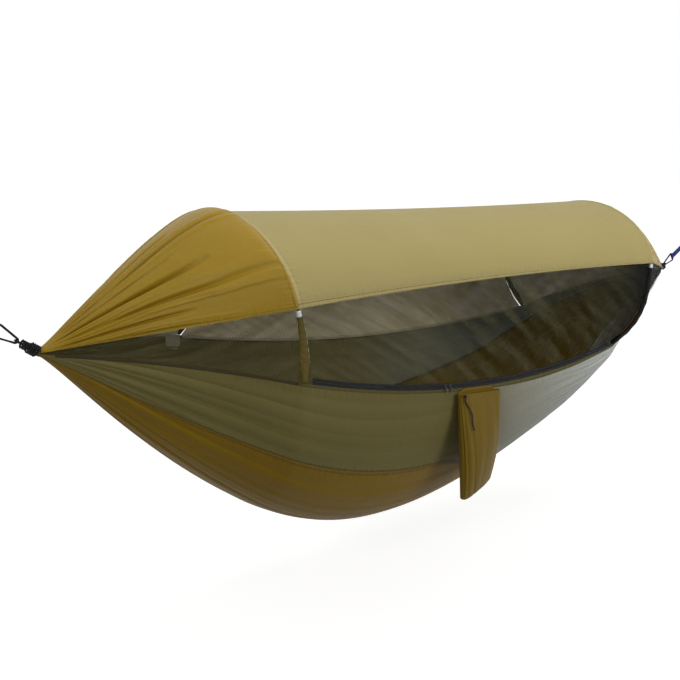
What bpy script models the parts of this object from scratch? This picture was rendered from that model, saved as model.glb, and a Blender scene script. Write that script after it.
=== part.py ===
"""Hammock tent: a gathered-end hammock with a sun roof and insect nets on two pole hoops.

Metres, +Z up. X runs from the left end to the right end, and the door side faces -Y.
The origin is where the left carabiner bears in its rope loop. Cloth is drawn as it hangs:
the bed is three panels sewn side by side, the roof is one panel between the hoops, and a
pleated cap closes each end. Soft sheets are thin solids, and touching pieces keep seam_gap.
"""

import math

import bmesh
import bpy
import numpy as np

for leftover in list(bpy.data.objects):
    bpy.data.objects.remove(leftover)

# Overall size of the hung tent
hung_span = 2.50
seam_gap = 0.0003
panel_seam_gap = 0.0005
cloth = 0.0012
net_thickness = 0.0008
rim_clearance = 0.0008
cloth_lift_share = 1.2

# Hoops: half width and height at the shoulders, where arch and legs meet, and at the top
shoulder_half_width = 0.33
shoulder_height = 0.105
left_shoulder_reach = 0.71
right_shoulder_reach = 0.70
apex_reach = 0.75
left_apex_height = 0.315
right_apex_height = 0.290
right_arch_power = 1.45
leg_bend_share = 0.60
leg_handle_share = 2 / 3
right_leg_bulge = 0.080
leg_slope_step = 0.05
pole_radius = 0.004
pole_joint_gap = 0.0013

# Feet of the hoops on the bed's rims, as reach from mid-span, half width and height
left_near_foot = (-0.704, -0.345, -0.084)
left_far_foot = (-0.750, 0.345, -0.090)
right_near_foot = (0.612, -0.268, -0.184)
right_far_foot = (0.700, 0.250, -0.140)
near_rim_low = (-0.050, -0.333, -0.202)
far_rim_low = (0.050, 0.335, -0.185)

# Bed: depth below its rims, and where along the span it hangs deepest
bed_depth = 0.497
bed_low_shift = -0.436
bed_side_power = 1.95
bed_end_power = 1.125
right_slim_from = 0.42
right_slim_to = 0.80
right_slim_share = 0.50
rim_bow_out = 0.050
rim_bow_up = 0.060
front_seam_angle = math.radians(-60)
front_seam_low_angle = math.radians(-24)
front_seam_turn = 0.02
front_seam_spread = 0.22
back_seam_angle = math.radians(60)

# Gathered ends
neck_radius = 0.009
cap_edge_lift = 0.0016
left_rise = math.radians(37)
right_rise = math.radians(30)
left_neck_length = 0.026
right_neck_length = 0.014
winding_rope_radius = 0.0027
winding_pitch = 0.0060
winding_start = 0.0030
left_throat_turns = 3
right_throat_turns = 0
winding_points_per_turn = 24
loop_rope_radius = 0.003
loop_rod_clearance = 0.0003
loop_knot_length = 0.011

# Roof and caps
hem_lift = 0.016
roof_sag = 0.010
left_cap_crown = 0.175
right_cap_crown = 0.010
pleat_count = 12
pleat_share = 0.060
pleat_start_share = 0.16
pleat_fade_power = 1.2
crown_rise_power = 1.6
crown_fall_power = 0.6

# Carabiners: round rod bent to a pear shape, gate on its lower side
rod_radius = 0.003
carabiner_length = 0.058
carabiner_straight = 0.022
carabiner_corner = 0.005
gate_radius = 0.0025
gate_hinge_share = 0.16
gate_nose_share = 0.80
gate_tip_gap = 0.0008
gate_tongue = 0.0024
gate_tongue_height = 0.0040
gate_slot = 0.0030
gate_slot_depth = 0.0035
gate_overlap = 0.0025
fork_reach = 0.0028
fork_gap = 0.0011
rivet_radius = 0.0009
rivet_clearance = 0.0003

# Tree straps: flat webbing with a sewn eye at each end
webbing_width = 0.020
webbing_thickness = 0.0018
left_strap_length = 0.115
right_strap_length = 0.165
tree_eye_radius = 0.012
strap_eye_clearance = 0.0003
strap_layer_gap = 0.0004

# Leg sleeves, shoulder fittings and foot pockets
sleeve_top_half_width = 0.008
sleeve_foot_half_width = 0.0145
sleeve_half_thickness = 0.0056
sleeve_clearance = 0.0003
fitting_radius = 0.0070
fitting_length = 0.016
ring_radius = 0.0082
ring_length = 0.0032
pocket_radius = 0.0085
pocket_length = 0.045
pocket_wall = 0.0016
fitting_start = 0.005
leg_side_gap = 0.0022
net_top_drop = 0.0015
leg_settle_share = 0.22
pocket_step_shares = (0.35, 0.7)
wedge_tip = 0.055
wedge_first_share = 0.06

# Zip along the near rim between the feet
tape_width = 0.0075
tape_thickness = 0.0008
bead_width = 0.0016
bead_thickness = 0.0022
zip_slit = 0.0014
zip_end_margin = 0.026
slider_length = 0.011
slider_width = 0.0088
slider_plate = 0.0010
slider_clearance = 0.0003
slider_apart = 0.020
bail_height = 0.0030
bail_length = 0.0060
bail_wire_radius = 0.0006
pull_length = 0.018
pull_width = 0.0062
pull_thickness = 0.0012
pull_eye_radius = 0.0020
pull_wire_radius = 0.0007
slider_rest_share = 0.365

# Storage pouch, hung outside the near rim, turned a little towards its foot
pouch_width = 0.172
pouch_height = 0.328
pouch_depth = 0.044
pouch_mouth_depth = 0.022
pouch_left_station = -0.192
pouch_drop = 0.012
pouch_wall = 0.0016
pouch_twist = math.radians(9)
pouch_foot_narrowing = 0.016
pouch_narrow_power = 3
pouch_foot_slant = 0.022
pouch_squareness = 3.2
pouch_back_share = 0.93
pouch_swell_share = 0.93
pouch_ring_points = 20
pouch_drop_shares = (0, 0.12, 0.3, 0.5, 0.7, 0.86, 0.96)
pouch_sole_share = 0.35
cord_radius = 0.0016
knot_radius = 0.0042
knot_aside_share = 0.42


def colour(hex_text):
    """Linear values of an sRGB colour written as six hex digits."""
    parts = [int(hex_text[i : i + 2], 16) / 255 for i in (0, 2, 4)]
    return tuple(c / 12.92 if c <= 0.04045 else ((c + 0.055) / 1.055) ** 2.4 for c in parts)


def material(name, hex_text, roughness, metallic=0.0):
    made = bpy.data.materials.new(name)
    made.use_nodes = True
    shader = made.node_tree.nodes["Principled BSDF"]
    shader.inputs["Base Color"].default_value = (*colour(hex_text), 1)
    shader.inputs["Roughness"].default_value = roughness
    shader.inputs["Metallic"].default_value = metallic
    made.diffuse_color = (*colour(hex_text), 1)
    return made


def add_object(name, mesh, finish, smooth_angle=None):
    """A named object holding the mesh, with its own material."""
    obj = bpy.data.objects.new(name, mesh)
    bpy.context.scene.collection.objects.link(obj)
    obj.data.materials.append(material(name, *finish))
    if smooth_angle:
        mesh.shade_smooth()
        mesh.set_sharp_from_angle(angle=smooth_angle)
    return obj


ROUND = math.radians(40)
NYLON_KHAKI = ("9A8D5E", 0.6)
NYLON_MUSTARD = ("8F7524", 0.55)
NYLON_GOLD = ("6B5510", 0.55)
NYLON_GREY = ("5C5C45", 0.6)
NET_OLIVE = ("45432F", 0.8)
NET_BEIGE = ("786E50", 0.8)
BLACK_ROPE = ("0C0D14", 0.85)
NAVY_ROPE = ("10152C", 0.85)
STEEL = ("C8CBCF", 0.3, 1.0)
BLACK_METAL = ("14151A", 0.35, 0.9)
DARK_RUBBER = ("101010", 0.7)
GLASS_FIBRE = ("1B1C1E", 0.45)
WHITE_PLASTIC = ("E6E8E8", 0.4)
SLEEVE_OLIVE = ("5A4D1C", 0.7)
SLEEVE_DARK = ("1C1A12", 0.7)
ZIP_NAVY = ("2A3340", 0.5)
BLUE_WEBBING = ("17397B", 0.75)
GREEN_WEBBING = ("3E7A50", 0.75)
POUCH_GOLD = ("756120", 0.55)


def unit(vector):
    vector = np.array(vector, float)
    return vector / np.linalg.norm(vector)


def mix(a, b, share):
    return np.array(a, float) * (1 - share) + np.array(b, float) * share


def smooth_step(value):
    value = min(max(value, 0.0), 1.0)
    return value * value * (3 - 2 * value)


# Places of the ends. Each loop bears on its carabiner at the bight, and rises towards its tree.
left_out = np.array([-math.cos(left_rise), 0, math.sin(left_rise)])
right_out = np.array([math.cos(right_rise), 0, math.sin(right_rise)])
left_up = np.array([math.sin(left_rise), 0, math.cos(left_rise)])
right_up = np.array([-math.sin(right_rise), 0, math.cos(right_rise)])
SPAN_X = np.array([1.0, 0, 0])
SPAN_Y = np.array([0, 1.0, 0])
bight_radius = loop_rope_radius + loop_rod_clearance + rod_radius
loop_eye_length = 2 * bight_radius
wrap_clearance = winding_rope_radius + seam_gap


def winding_end(neck_length, throat_turns):
    """Distance from the flare of the cloth to the middle of the winding's last turn."""
    return neck_length + wrap_clearance + (throat_turns + 0.5) * winding_pitch


def loop_reach(neck_length, throat_turns):
    """Distance from the flare of the cloth to the centre of the rope at the bight."""
    return winding_end(neck_length, throat_turns) + winding_rope_radius + loop_eye_length


left_reach = loop_reach(left_neck_length, left_throat_turns)
right_reach = loop_reach(right_neck_length, right_throat_turns)
left_gather = -left_out * left_reach
half_span = hung_span / 2
middle = left_gather + np.array([half_span, 0, 0])
right_gather = middle + np.array([half_span, 0, 0])
right_bight = right_gather + right_out * right_reach


def circle_through(a, m, b):
    """Centre, radius, unit start vector, unit turned vector and angle of the arc a, m, b."""
    u, v = m - a, b - a
    uu, vv, uv = u @ u, v @ v, u @ v
    centre = a + (vv * (uu - uv) * u + uu * (vv - uv) * v) / (2 * (uu * vv - uv * uv))
    normal = unit(np.cross(u, v))
    first = unit(a - centre)
    second = np.cross(normal, first)
    if (b - centre) @ second < 0:
        second, normal = -second, -normal
    angle = math.atan2((b - centre) @ second, (b - centre) @ first)
    return centre, np.linalg.norm(a - centre), first, second, normal, angle


feet = {
    ("left", "near"): np.array(left_near_foot),
    ("left", "far"): np.array(left_far_foot),
    ("right", "near"): np.array(right_near_foot),
    ("right", "far"): np.array(right_far_foot),
}
rim_arcs = {
    "near": circle_through(feet["left", "near"], np.array(near_rim_low), feet["right", "near"]),
    "far": circle_through(feet["left", "far"], np.array(far_rim_low), feet["right", "far"]),
}
SIGN = {"near": -1, "far": 1, "left": -1, "right": 1}


def arc_at_station(side, station):
    """The rim's arc where it crosses a station along the span."""
    centre, radius, first, second, _, angle = rim_arcs[side]
    low, high = 0.0, angle
    for _ in range(40):
        turn = (low + high) / 2
        point = centre + radius * (math.cos(turn) * first + math.sin(turn) * second)
        low, high = (turn, high) if point[0] < station else (low, turn)
    return point


def rim(station, side):
    """The bed's rim, measured from mid-span: slightly bowed in the ends, an arc between the feet."""
    out = SIGN[side]
    left, right = feet["left", side], feet["right", side]
    if left[0] < station < right[0]:
        return arc_at_station(side, station)
    foot = left if station <= left[0] else right
    end = np.array([math.copysign(half_span, station), out * neck_radius, 0])
    share = (end[0] - station) / (end[0] - foot[0])
    bow = np.array([0, out * rim_bow_out, rim_bow_up]) * share * (1 - share)
    return mix(end, foot, share) + bow


def bed_point(stations, angle):
    """A point of the bed's middle surface: angle -90 degrees is the near rim, 90 the far rim."""
    point = mix(rim(stations[0], "near"), rim(stations[1], "far"), (math.sin(angle) + 1) / 2)
    shifted = point[0] - bed_low_shift * (1 - (point[0] / half_span) ** 2)
    fall = 1 - min(abs(shifted) / half_span, 1) ** bed_side_power
    slim_reach = right_slim_to - right_slim_from
    slim = right_slim_share * smooth_step((point[0] - right_slim_from) / slim_reach)
    depth = neck_radius + bed_depth * fall**bed_end_power * (1 - slim)
    point[2] -= depth * math.cos(angle)
    return point


def front_seam(stations):
    """Section angle of the seam between the front panel and the centre panel."""
    share = smooth_step((stations[0] - front_seam_turn + front_seam_spread) / (2 * front_seam_spread))
    return front_seam_angle + (front_seam_low_angle - front_seam_angle) * share


def gathered(points, gather, up):
    """The ring of points at a gather, turned to stand square to the rope."""
    return [gather + SPAN_Y * (p - gather)[1] + up * (p - gather)[2] for p in points]


def with_necks(stations, place):
    """Rows of points at the stations, with a straight neck added along the rope at each end."""
    rows = [[middle + point for point in place(station)] for station in stations]
    rows[0] = gathered(rows[0], left_gather, left_up)
    rows[-1] = gathered(rows[-1], right_gather, right_up)
    left = [p + left_out * left_neck_length for p in rows[0]]
    right = [p + right_out * right_neck_length for p in rows[-1]]
    return [left, *rows, right]


def sheet(name, rows, finish, thickness=cloth, smooth=True):
    """A cloth sheet: the grid of its middle surface, thickened evenly by Solidify."""
    points = [tuple(float(c) for c in p) for row in rows for p in row]
    across = len(rows[0])
    faces = []
    for i in range(len(rows) - 1):
        for j in range(across - 1):
            k = i * across + j
            faces.append((k, k + 1, k + across + 1, k + across))
    mesh = bpy.data.meshes.new(name)
    mesh.from_pydata(points, [], faces)
    mesh.update()
    obj = add_object(name, mesh, finish, ROUND if smooth else None)
    wall = obj.modifiers.new("Cloth thickness", "SOLIDIFY")
    wall.thickness = thickness
    wall.offset = 0
    wall.use_even_offset = False
    return obj


def inset_ends(points, gap):
    """The row of points with its two ends drawn in by gap along the row."""
    points = [np.array(p, float) for p in points]
    points[0] = points[0] + unit(points[1] - points[0]) * gap
    points[-1] = points[-1] + unit(points[-2] - points[-1]) * gap
    return points


def end_stations(gather_station, foot_station):
    """Stations from a gather to the foot next to it, closer together near the gather."""
    shares = (0, 0.05, 0.13, 0.26, 0.44, 0.66, 0.88)
    return [float(mix(gather_station, foot_station, share)) for share in shares]


def side_stations(side):
    left, right = feet["left", side][0], feet["right", side][0]
    between = [float(s) for s in np.linspace(left, right, 14)]
    return end_stations(-half_span, left) + between + end_stations(half_span, right)[::-1]


BED_STATIONS = list(zip(side_stations("near"), side_stations("far")))


def bed_panel(name, low_angle, high_angle, columns, finish):
    def place(stations):
        angles = np.linspace(low_angle(stations), high_angle(stations), columns)
        return inset_ends([bed_point(stations, a) for a in angles], panel_seam_gap / 2)

    return sheet(name, with_necks(BED_STATIONS, place), finish)


# Bed: three panels of ripstop nylon sewn side by side from end to end
bed_panel("bed_front_panel", lambda s: -math.pi / 2, front_seam, 5, NYLON_GREY)
bed_panel("bed_centre_panel", front_seam, lambda s: back_seam_angle, 9, NYLON_GOLD)
bed_panel("bed_back_panel", lambda s: back_seam_angle, lambda s: math.pi / 2, 4, NYLON_GREY)


# Hoops. The pole's middle line runs from the near foot over the top to the far foot.
APEX_HEIGHT = {"left": left_apex_height, "right": right_apex_height}
SHOULDER_REACH = {"left": left_shoulder_reach, "right": right_shoulder_reach}
ARCH_POWER = {"left": 1, "right": right_arch_power}
LEG_BULGE = {"left": 0, "right": right_leg_bulge}
facets_per_pleat = 3
ARCH_ANGLES = np.linspace(-math.pi / 2, math.pi / 2, pleat_count * facets_per_pleat + 1)
pivot_seat_share = 1.04
pivot_lift = (pocket_radius + seam_gap) * pivot_seat_share


def arch_point(side, angle, grow=0.0):
    """A point of the hoop's arch; grow moves it outwards, for cloth that lies over the pole."""
    reach = SHOULDER_REACH[side]
    x = SIGN[side] * (reach + (apex_reach - reach) * abs(math.cos(angle)))
    y = (shoulder_half_width + grow) * math.sin(angle)
    rise = APEX_HEIGHT[side] - shoulder_height + grow
    z = shoulder_height + rise * abs(math.cos(angle)) ** ARCH_POWER[side]
    return np.array([x, y, z])


def foot_pivot(side, near_far):
    """Centre of the rounded pocket end, on which the hoop folds, just above the rim."""
    return feet[side, near_far] + np.array([0, 0, pivot_lift])


def leg_point(side, near_far, share):
    """The leg's middle line: share 0 at the shoulder, 1 at the foot pivot."""
    top = arch_point(side, SIGN[near_far] * math.pi / 2)
    foot = foot_pivot(side, near_far)
    above = arch_point(side, SIGN[near_far] * (math.pi / 2 - leg_slope_step))
    bend = top - unit(above - top) * np.linalg.norm(top - foot) * leg_bend_share
    bulge = np.array([LEG_BULGE[side], SIGN[near_far] * LEG_BULGE[side] / 2, 0])
    upper = mix(top, bend, leg_handle_share) + bulge * (1 - leg_handle_share)
    lower = mix(foot, bend, leg_handle_share) + bulge
    points = [top, upper, lower, foot]
    while len(points) > 1:
        points = [mix(a, b, share) for a, b in zip(points, points[1:])]
    return points[0]


def frames(path, side_hint):
    """Unit tangent, side and normal vectors along a path of points."""
    made = []
    for i, point in enumerate(path):
        along = unit(path[min(i + 1, len(path) - 1)] - path[max(i - 1, 0)])
        side = unit(side_hint - along * (side_hint @ along))
        made.append((along, side, np.cross(along, side)))
    return made


def ring(centre, side, normal, half_side, half_normal, count):
    turns = [2 * math.pi * k / count for k in range(count)]
    return [centre + side * half_side * math.cos(t) + normal * half_normal * math.sin(t) for t in turns]


def loft(name, rings, finish, closed_loop=False, smooth=True):
    """A solid skinned over rings of equal count, with end faces or closed on itself."""
    mesh = bpy.data.meshes.new(name)
    shape = bmesh.new()
    loops = [[shape.verts.new(p) for p in points] for points in rings]
    pairs = list(zip(loops, loops[1:]))
    if closed_loop:
        pairs.append((loops[-1], loops[0]))
    for first, second in pairs:
        count = len(first)
        for k in range(count):
            n = (k + 1) % count
            shape.faces.new((first[k], first[n], second[n], second[k]))
    if not closed_loop:
        shape.faces.new(loops[0])
        shape.faces.new(loops[-1])
    bmesh.ops.recalc_face_normals(shape, faces=shape.faces)
    shape.to_mesh(mesh)
    shape.free()
    return add_object(name, mesh, finish, ROUND if smooth else None)


def rope(name, path, radius, finish, sides_resolution=1):
    """A round rope, cord or rod: a poly curve with a bevel and filled caps."""
    curve = bpy.data.curves.new(name, "CURVE")
    curve.dimensions = "3D"
    curve.bevel_depth = radius
    curve.bevel_resolution = sides_resolution
    curve.use_fill_caps = True
    line = curve.splines.new("POLY")
    line.points.add(len(path) - 1)
    for point, place in zip(line.points, path):
        point.co = (*place, 1)
    obj = bpy.data.objects.new(name, curve)
    bpy.context.scene.collection.objects.link(obj)
    obj.data.materials.append(material(name, *finish))
    return obj


def walled_tube(name, path, side_hint, outer, clear_radius, finish, count=12):
    """A tube with a bore: outer gives half width and half thickness at each point."""
    axes = frames(path, side_hint)
    inner_radius = clear_radius / math.cos(math.pi / count)
    outside = []
    inside = []
    for point, (_, side, normal), (half_side, half_normal) in zip(path, axes, outer):
        outside.append(ring(point, side, normal, half_side, half_normal, count))
        inside.append(ring(point, side, normal, inner_radius, inner_radius, count))
    return loft(name, outside + inside[::-1], finish, closed_loop=True)


LEG_SHARES = (0, 0.2, 0.4, 0.58, 0.69, 1)


def leg_line(side, near_far):
    """Corners of the leg's middle line, and their distances from the shoulder."""
    corners = [middle + leg_point(side, near_far, share) for share in LEG_SHARES]
    steps = [np.linalg.norm(b - a) for a, b in zip(corners, corners[1:])]
    return corners, [0.0, *np.cumsum(steps)]


def leg_length(side, near_far):
    return leg_line(side, near_far)[1][-1]


def leg_path(side, near_far, start, stop, extra=()):
    """The leg's middle line between two distances from the shoulder, with any extra ones."""
    corners, distances = leg_line(side, near_far)
    inner = [d for d in (*distances, *extra) if start < d < stop]
    wanted = sorted({start, stop, *inner})
    return [np.array([np.interp(d, distances, [c[k] for c in corners]) for k in range(3)])
            for d in wanted]


def sleeve_half_width(share):
    return sleeve_top_half_width + (sleeve_foot_half_width - sleeve_top_half_width) * share


ring_start = fitting_start + fitting_length + seam_gap
sleeve_start = ring_start + ring_length + seam_gap


def foot_pocket(hoop, edge, length, pocket_top):
    """A cup whose closed end is a ball round the foot pivot, open above for the pole."""
    steps = [pocket_top + pocket_length * share for share in pocket_step_shares]
    upper = leg_path(hoop, edge, pocket_top, length, steps)
    axes = frames(upper, SPAN_X)
    along, side, normal = axes[-1]
    centre = upper[-1]
    outer, inner = [], []
    bore = (pole_radius + sleeve_clearance) / math.cos(math.pi / 12)
    floor = centre - along * (pocket_radius - pocket_wall - sleeve_clearance - seam_gap)
    for point, (_, s_axis, n_axis) in zip(upper, axes):
        share = smooth_step(np.linalg.norm(point - upper[0]) / pocket_length)
        wide = float(mix(sleeve_foot_half_width, pocket_radius, share))
        thick = float(mix(sleeve_half_thickness + pocket_wall, pocket_radius, share))
        outer.append(ring(point, s_axis, n_axis, wide, thick, 12))
        if (point - floor) @ along < 0:
            inner.append(ring(point, s_axis, n_axis, bore, bore, 12))
    for turn in np.radians((35, 68)):
        outer.append(ring(centre + along * pocket_radius * math.sin(turn), side, normal,
                          pocket_radius * math.cos(turn), pocket_radius * math.cos(turn), 12))
    inner.append(ring(floor, side, normal, bore, bore, 12))
    loft(f"{hoop}_{edge}_foot_pocket", inner[::-1] + outer, SLEEVE_DARK)


for hoop in ("left", "right"):
    rope(f"{hoop}_arch_pole", [middle + arch_point(hoop, a) for a in ARCH_ANGLES], pole_radius,
         GLASS_FIBRE)
    for edge in ("near", "far"):
        length = leg_length(hoop, edge)
        pocket_top = length - pocket_length
        bore = pole_radius + sleeve_clearance
        leg_finish = SLEEVE_OLIVE if (hoop, edge) == ("left", "near") else SLEEVE_DARK
        rope(f"{hoop}_{edge}_leg_pole",
             leg_path(hoop, edge, pole_joint_gap, length - pocket_radius + pocket_wall),
             pole_radius, GLASS_FIBRE, 2)
        fit = leg_path(hoop, edge, fitting_start, fitting_start + fitting_length,
                       [fitting_start + fitting_length / 2])
        swell_shares = (0.82, 1.0, 0.82)
        walled_tube(f"{hoop}_{edge}_pole_fitting", fit, SPAN_X,
                    [(fitting_radius * s, fitting_radius * s) for s in swell_shares], bore, WHITE_PLASTIC)
        band = leg_path(hoop, edge, ring_start, ring_start + ring_length)
        walled_tube(f"{hoop}_{edge}_sleeve_ring", band, SPAN_X, [(ring_radius, ring_radius)] * 2, bore,
                    DARK_RUBBER)
        sleeve = leg_path(hoop, edge, sleeve_start, pocket_top - 2 * seam_gap)
        shares = np.linspace(0, 1, len(sleeve))
        walled_tube(f"{hoop}_{edge}_leg_sleeve", sleeve, SPAN_X,
                    [(sleeve_half_width(s), sleeve_half_thickness) for s in shares], bore, leg_finish)
        foot_pocket(hoop, edge, length, pocket_top)


# Roof and caps: cloth laid over the arches, which meet above the middle of each pole
CLOTH_LIFT = (pole_radius + seam_gap + cloth / 2) * cloth_lift_share
CAP_GAP = seam_gap + cloth / 2


def roof_point(share, angle):
    """A point of the roof: share runs from the left hoop to the right one."""
    left = arch_point("left", angle, CLOTH_LIFT)
    right = arch_point("right", angle, CLOTH_LIFT)
    bow = 4 * share * (1 - share)
    point = mix(left, right, share)
    point[2] += bow * (hem_lift * math.sin(angle) ** 2 - roof_sag * math.cos(angle) ** 2)
    return point


roof_rows = []
for share in np.linspace(0, 1, 7):
    row = [middle + roof_point(share, a) for a in ARCH_ANGLES]
    if share in (0, 1):
        row = [p + SPAN_X * (seam_gap if share == 0 else -seam_gap) for p in row]
    roof_rows.append(row)
sheet("roof_panel", roof_rows, NYLON_KHAKI)


def cap_edge(side, share, angle):
    """A point of the cap without its crown and pleats: share 0 at the gather, 1 at the hoop."""
    gather = np.array([SIGN[side] * half_span, neck_radius * math.sin(angle),
                       neck_radius * math.cos(angle) + cap_edge_lift])
    return mix(gather, arch_point(side, angle, CLOTH_LIFT), share)


def pleat_wave(column):
    """Depth of the pleats round the cap: a narrow furrow, then a broad ridge of two columns."""
    return -1.0 if column % facets_per_pleat == 0 else 0.5


CAP_CROWN = {"left": left_cap_crown, "right": right_cap_crown}


def cap_point(side, share, angle, column):
    point = cap_edge(side, share, angle)
    crown = CAP_CROWN[side] * share**crown_rise_power * (1 - share) ** crown_fall_power
    point[2] += crown * math.cos(angle)
    girth = math.hypot(point[1], point[2] - cap_edge_lift)
    depth = pleat_share * girth * (1 - share) ** pleat_fade_power * smooth_step(share / pleat_start_share)
    inner = 0 < column < len(ARCH_ANGLES) - 1
    outward = np.array([0, math.sin(angle), math.cos(angle)])
    return point + outward * depth * (pleat_wave(column) if inner else 0)


CAP_SHARES = (0, 0.05, 0.13, 0.26, 0.42, 0.60, 0.78, 0.92, 1)
GATHER = {"left": (left_gather, left_up, left_out * left_neck_length),
          "right": (right_gather, right_up, right_out * right_neck_length)}

for end in ("left", "right"):
    rows = [[middle + cap_point(end, share, a, k) for k, a in enumerate(ARCH_ANGLES)]
            for share in CAP_SHARES]
    gather, up, neck = GATHER[end]
    rows[0] = gathered(rows[0], gather, up)
    rows[-1] = [p + SPAN_X * SIGN[end] * CAP_GAP for p in rows[-1]]
    sheet(f"{end}_end_cap", [[p + neck for p in rows[0]], *rows], NYLON_MUSTARD)


# Zip: two tapes with beaded edges on arcs above the near rim, and their sliders
zip_centre, rim_radius, zip_first, zip_second, zip_normal, zip_angle = rim_arcs["near"]
ZIP_FRONT = zip_normal if zip_normal[1] < 0 else -zip_normal
ZIP_CENTRE = middle + zip_centre
lower_edge = rim_radius - rim_clearance
lower_bead = lower_edge - tape_width
upper_bead = lower_bead - zip_slit
upper_edge = upper_bead - tape_width
slit_radius = (lower_bead + upper_bead) / 2
zip_start = zip_end_margin / rim_radius
zip_stop = zip_angle - zip_start


def zip_axes(turn):
    """Unit vectors at a turn of the zip: along it to the right, and down away from its centre."""
    down = math.cos(turn) * zip_first + math.sin(turn) * zip_second
    along = -math.sin(turn) * zip_first + math.cos(turn) * zip_second
    return along, down


def zip_tape(name, edge, bead):
    inward = math.copysign(bead_width, edge - bead)
    flat, thick = tape_thickness / 2, bead_thickness / 2
    profile = [(edge, -flat), (bead + inward, -flat), (bead + inward, -thick), (bead, -thick),
               (bead, thick), (bead + inward, thick), (bead + inward, flat), (edge, flat)]
    rings = []
    for turn in np.linspace(zip_start, zip_stop, 27):
        _, down = zip_axes(turn)
        rings.append([ZIP_CENTRE + down * radius + ZIP_FRONT * front for radius, front in profile])
    loft(name, rings, ZIP_NAVY)


zip_tape("door_zip_tape_lower", lower_edge, lower_bead)
zip_tape("door_zip_tape_upper", upper_edge, upper_bead)


def join(base, *others):
    """Fuses solids into the first one."""
    for other in others:
        fuse = base.modifiers.new("Fuse " + other.name, "BOOLEAN")
        fuse.operation = "UNION"
        fuse.solver = "EXACT"
        fuse.object = other
    apply_and_drop(base, others)
    return base


def cut(base, *cutters):
    """Cuts solids out of the first one."""
    for cutter in cutters:
        gap = base.modifiers.new("Cut " + cutter.name, "BOOLEAN")
        gap.operation = "DIFFERENCE"
        gap.solver = "EXACT"
        gap.object = cutter
    apply_and_drop(base, cutters)
    return base


def apply_and_drop(base, tools):
    """Bakes the modifiers of a solid into its mesh, then removes the solids that they used."""
    graph = bpy.context.evaluated_depsgraph_get()
    baked = bpy.data.meshes.new_from_object(base.evaluated_get(graph))
    base.modifiers.clear()
    base.data = baked
    for tool in tools:
        bpy.data.objects.remove(tool)


SQUARE = ((-1, -1), (1, -1), (1, 1), (-1, 1))


def box(name, centre, axes, sizes, finish):
    """A block on three axes."""
    (a, b, c), (u, v, w) = axes, [size / 2 for size in sizes]
    rings = [[centre + a * end * u + b * x * v + c * y * w for x, y in SQUARE] for end in (-1, 1)]
    return loft(name, rings, finish, smooth=False)


def rod(name, path, side_hint, radii, finish, count=8):
    """A solid round rod along a path, with its radius at each point."""
    axes = frames(path, side_hint)
    rings = [ring(p, s, n, r, r, count) for p, (_, s, n), r in zip(path, axes, radii)]
    return loft(name, rings, finish)


plate_face = bead_thickness / 2 + slider_clearance
plate_back = plate_face + slider_plate
bail_rise = plate_back + bail_height
post_width = zip_slit - 2 * slider_clearance
slider_spread = slider_apart / 2 / slit_radius
zip_rest = zip_start + (zip_stop - zip_start) * slider_rest_share
slider_plan_shares = ((-1, 0.72), (-0.6, 1), (0.5, 1), (1, 0.8))
blade_plan_shares = ((0, 0.3), (0.15, 0.45), (0.4, 0.9), (0.8, 1), (0.94, 0.85), (1, 0.5))

for hand in ("left", "right"):
    turn = zip_rest + SIGN[hand] * slider_spread
    along, down = zip_axes(turn)
    centre = ZIP_CENTRE + down * slit_radius
    rings = []
    for place_share, width_share in slider_plan_shares:
        half = slider_width / 2 * width_share
        post = post_width / 2
        outline = [(-half, -plate_back), (half, -plate_back), (half, -plate_face), (post, -plate_face),
                   (post, plate_face), (half, plate_face), (half, plate_back), (-half, plate_back),
                   (-half, plate_face), (-post, plate_face), (-post, -plate_face), (-half, -plate_face)]
        middle_of_ring = centre + along * slider_length / 2 * place_share
        rings.append([middle_of_ring + down * x + ZIP_FRONT * y for x, y in outline])
    slider = loft(f"{hand}_slider", rings, BLACK_METAL)
    reach = bail_length / 2
    root = plate_back - slider_plate / 2
    arch = [(-reach, root), (-reach, bail_rise - bail_height / 4), (-reach / 2, bail_rise),
            (reach / 2, bail_rise), (reach, bail_rise - bail_height / 4), (reach, root)]
    bail = rod("bail", [centre + along * x + ZIP_FRONT * y for x, y in arch], down,
               [bail_wire_radius] * len(arch), BLACK_METAL, 6)
    join(slider, bail)

    # Pull: a wire eye round the bail, square to a flat blade that hangs from it
    eye_hole = pull_eye_radius - pull_wire_radius
    eye = centre + ZIP_FRONT * bail_rise + down * (eye_hole - bail_wire_radius - slider_clearance)
    circle = []
    for t in np.linspace(0, 2 * math.pi, 13)[:-1]:
        spoke = down * math.cos(t) + ZIP_FRONT * math.sin(t)
        wire_at = eye + spoke * pull_eye_radius
        circle.append(ring(wire_at, spoke, along, pull_wire_radius, pull_wire_radius, 6))
    blade_top = pull_eye_radius - pull_wire_radius / 2
    blade = []
    for length_share, width_share in blade_plan_shares:
        at = eye + down * (blade_top + (pull_length - blade_top) * length_share)
        u, v = pull_width / 2 * width_share, pull_thickness / 2
        blade.append([at + along * x * u + ZIP_FRONT * y * v for x, y in SQUARE])
    pull = loft(f"{hand}_pull", circle, BLACK_METAL, closed_loop=True)
    join(pull, loft("blade", blade, BLACK_METAL))


# Insect nets between the hems above and the bed's rims below
HEM_GAP = seam_gap + (net_thickness + cloth) / 2


leg_step_shares = (-0.01, 0, 0.01)


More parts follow.
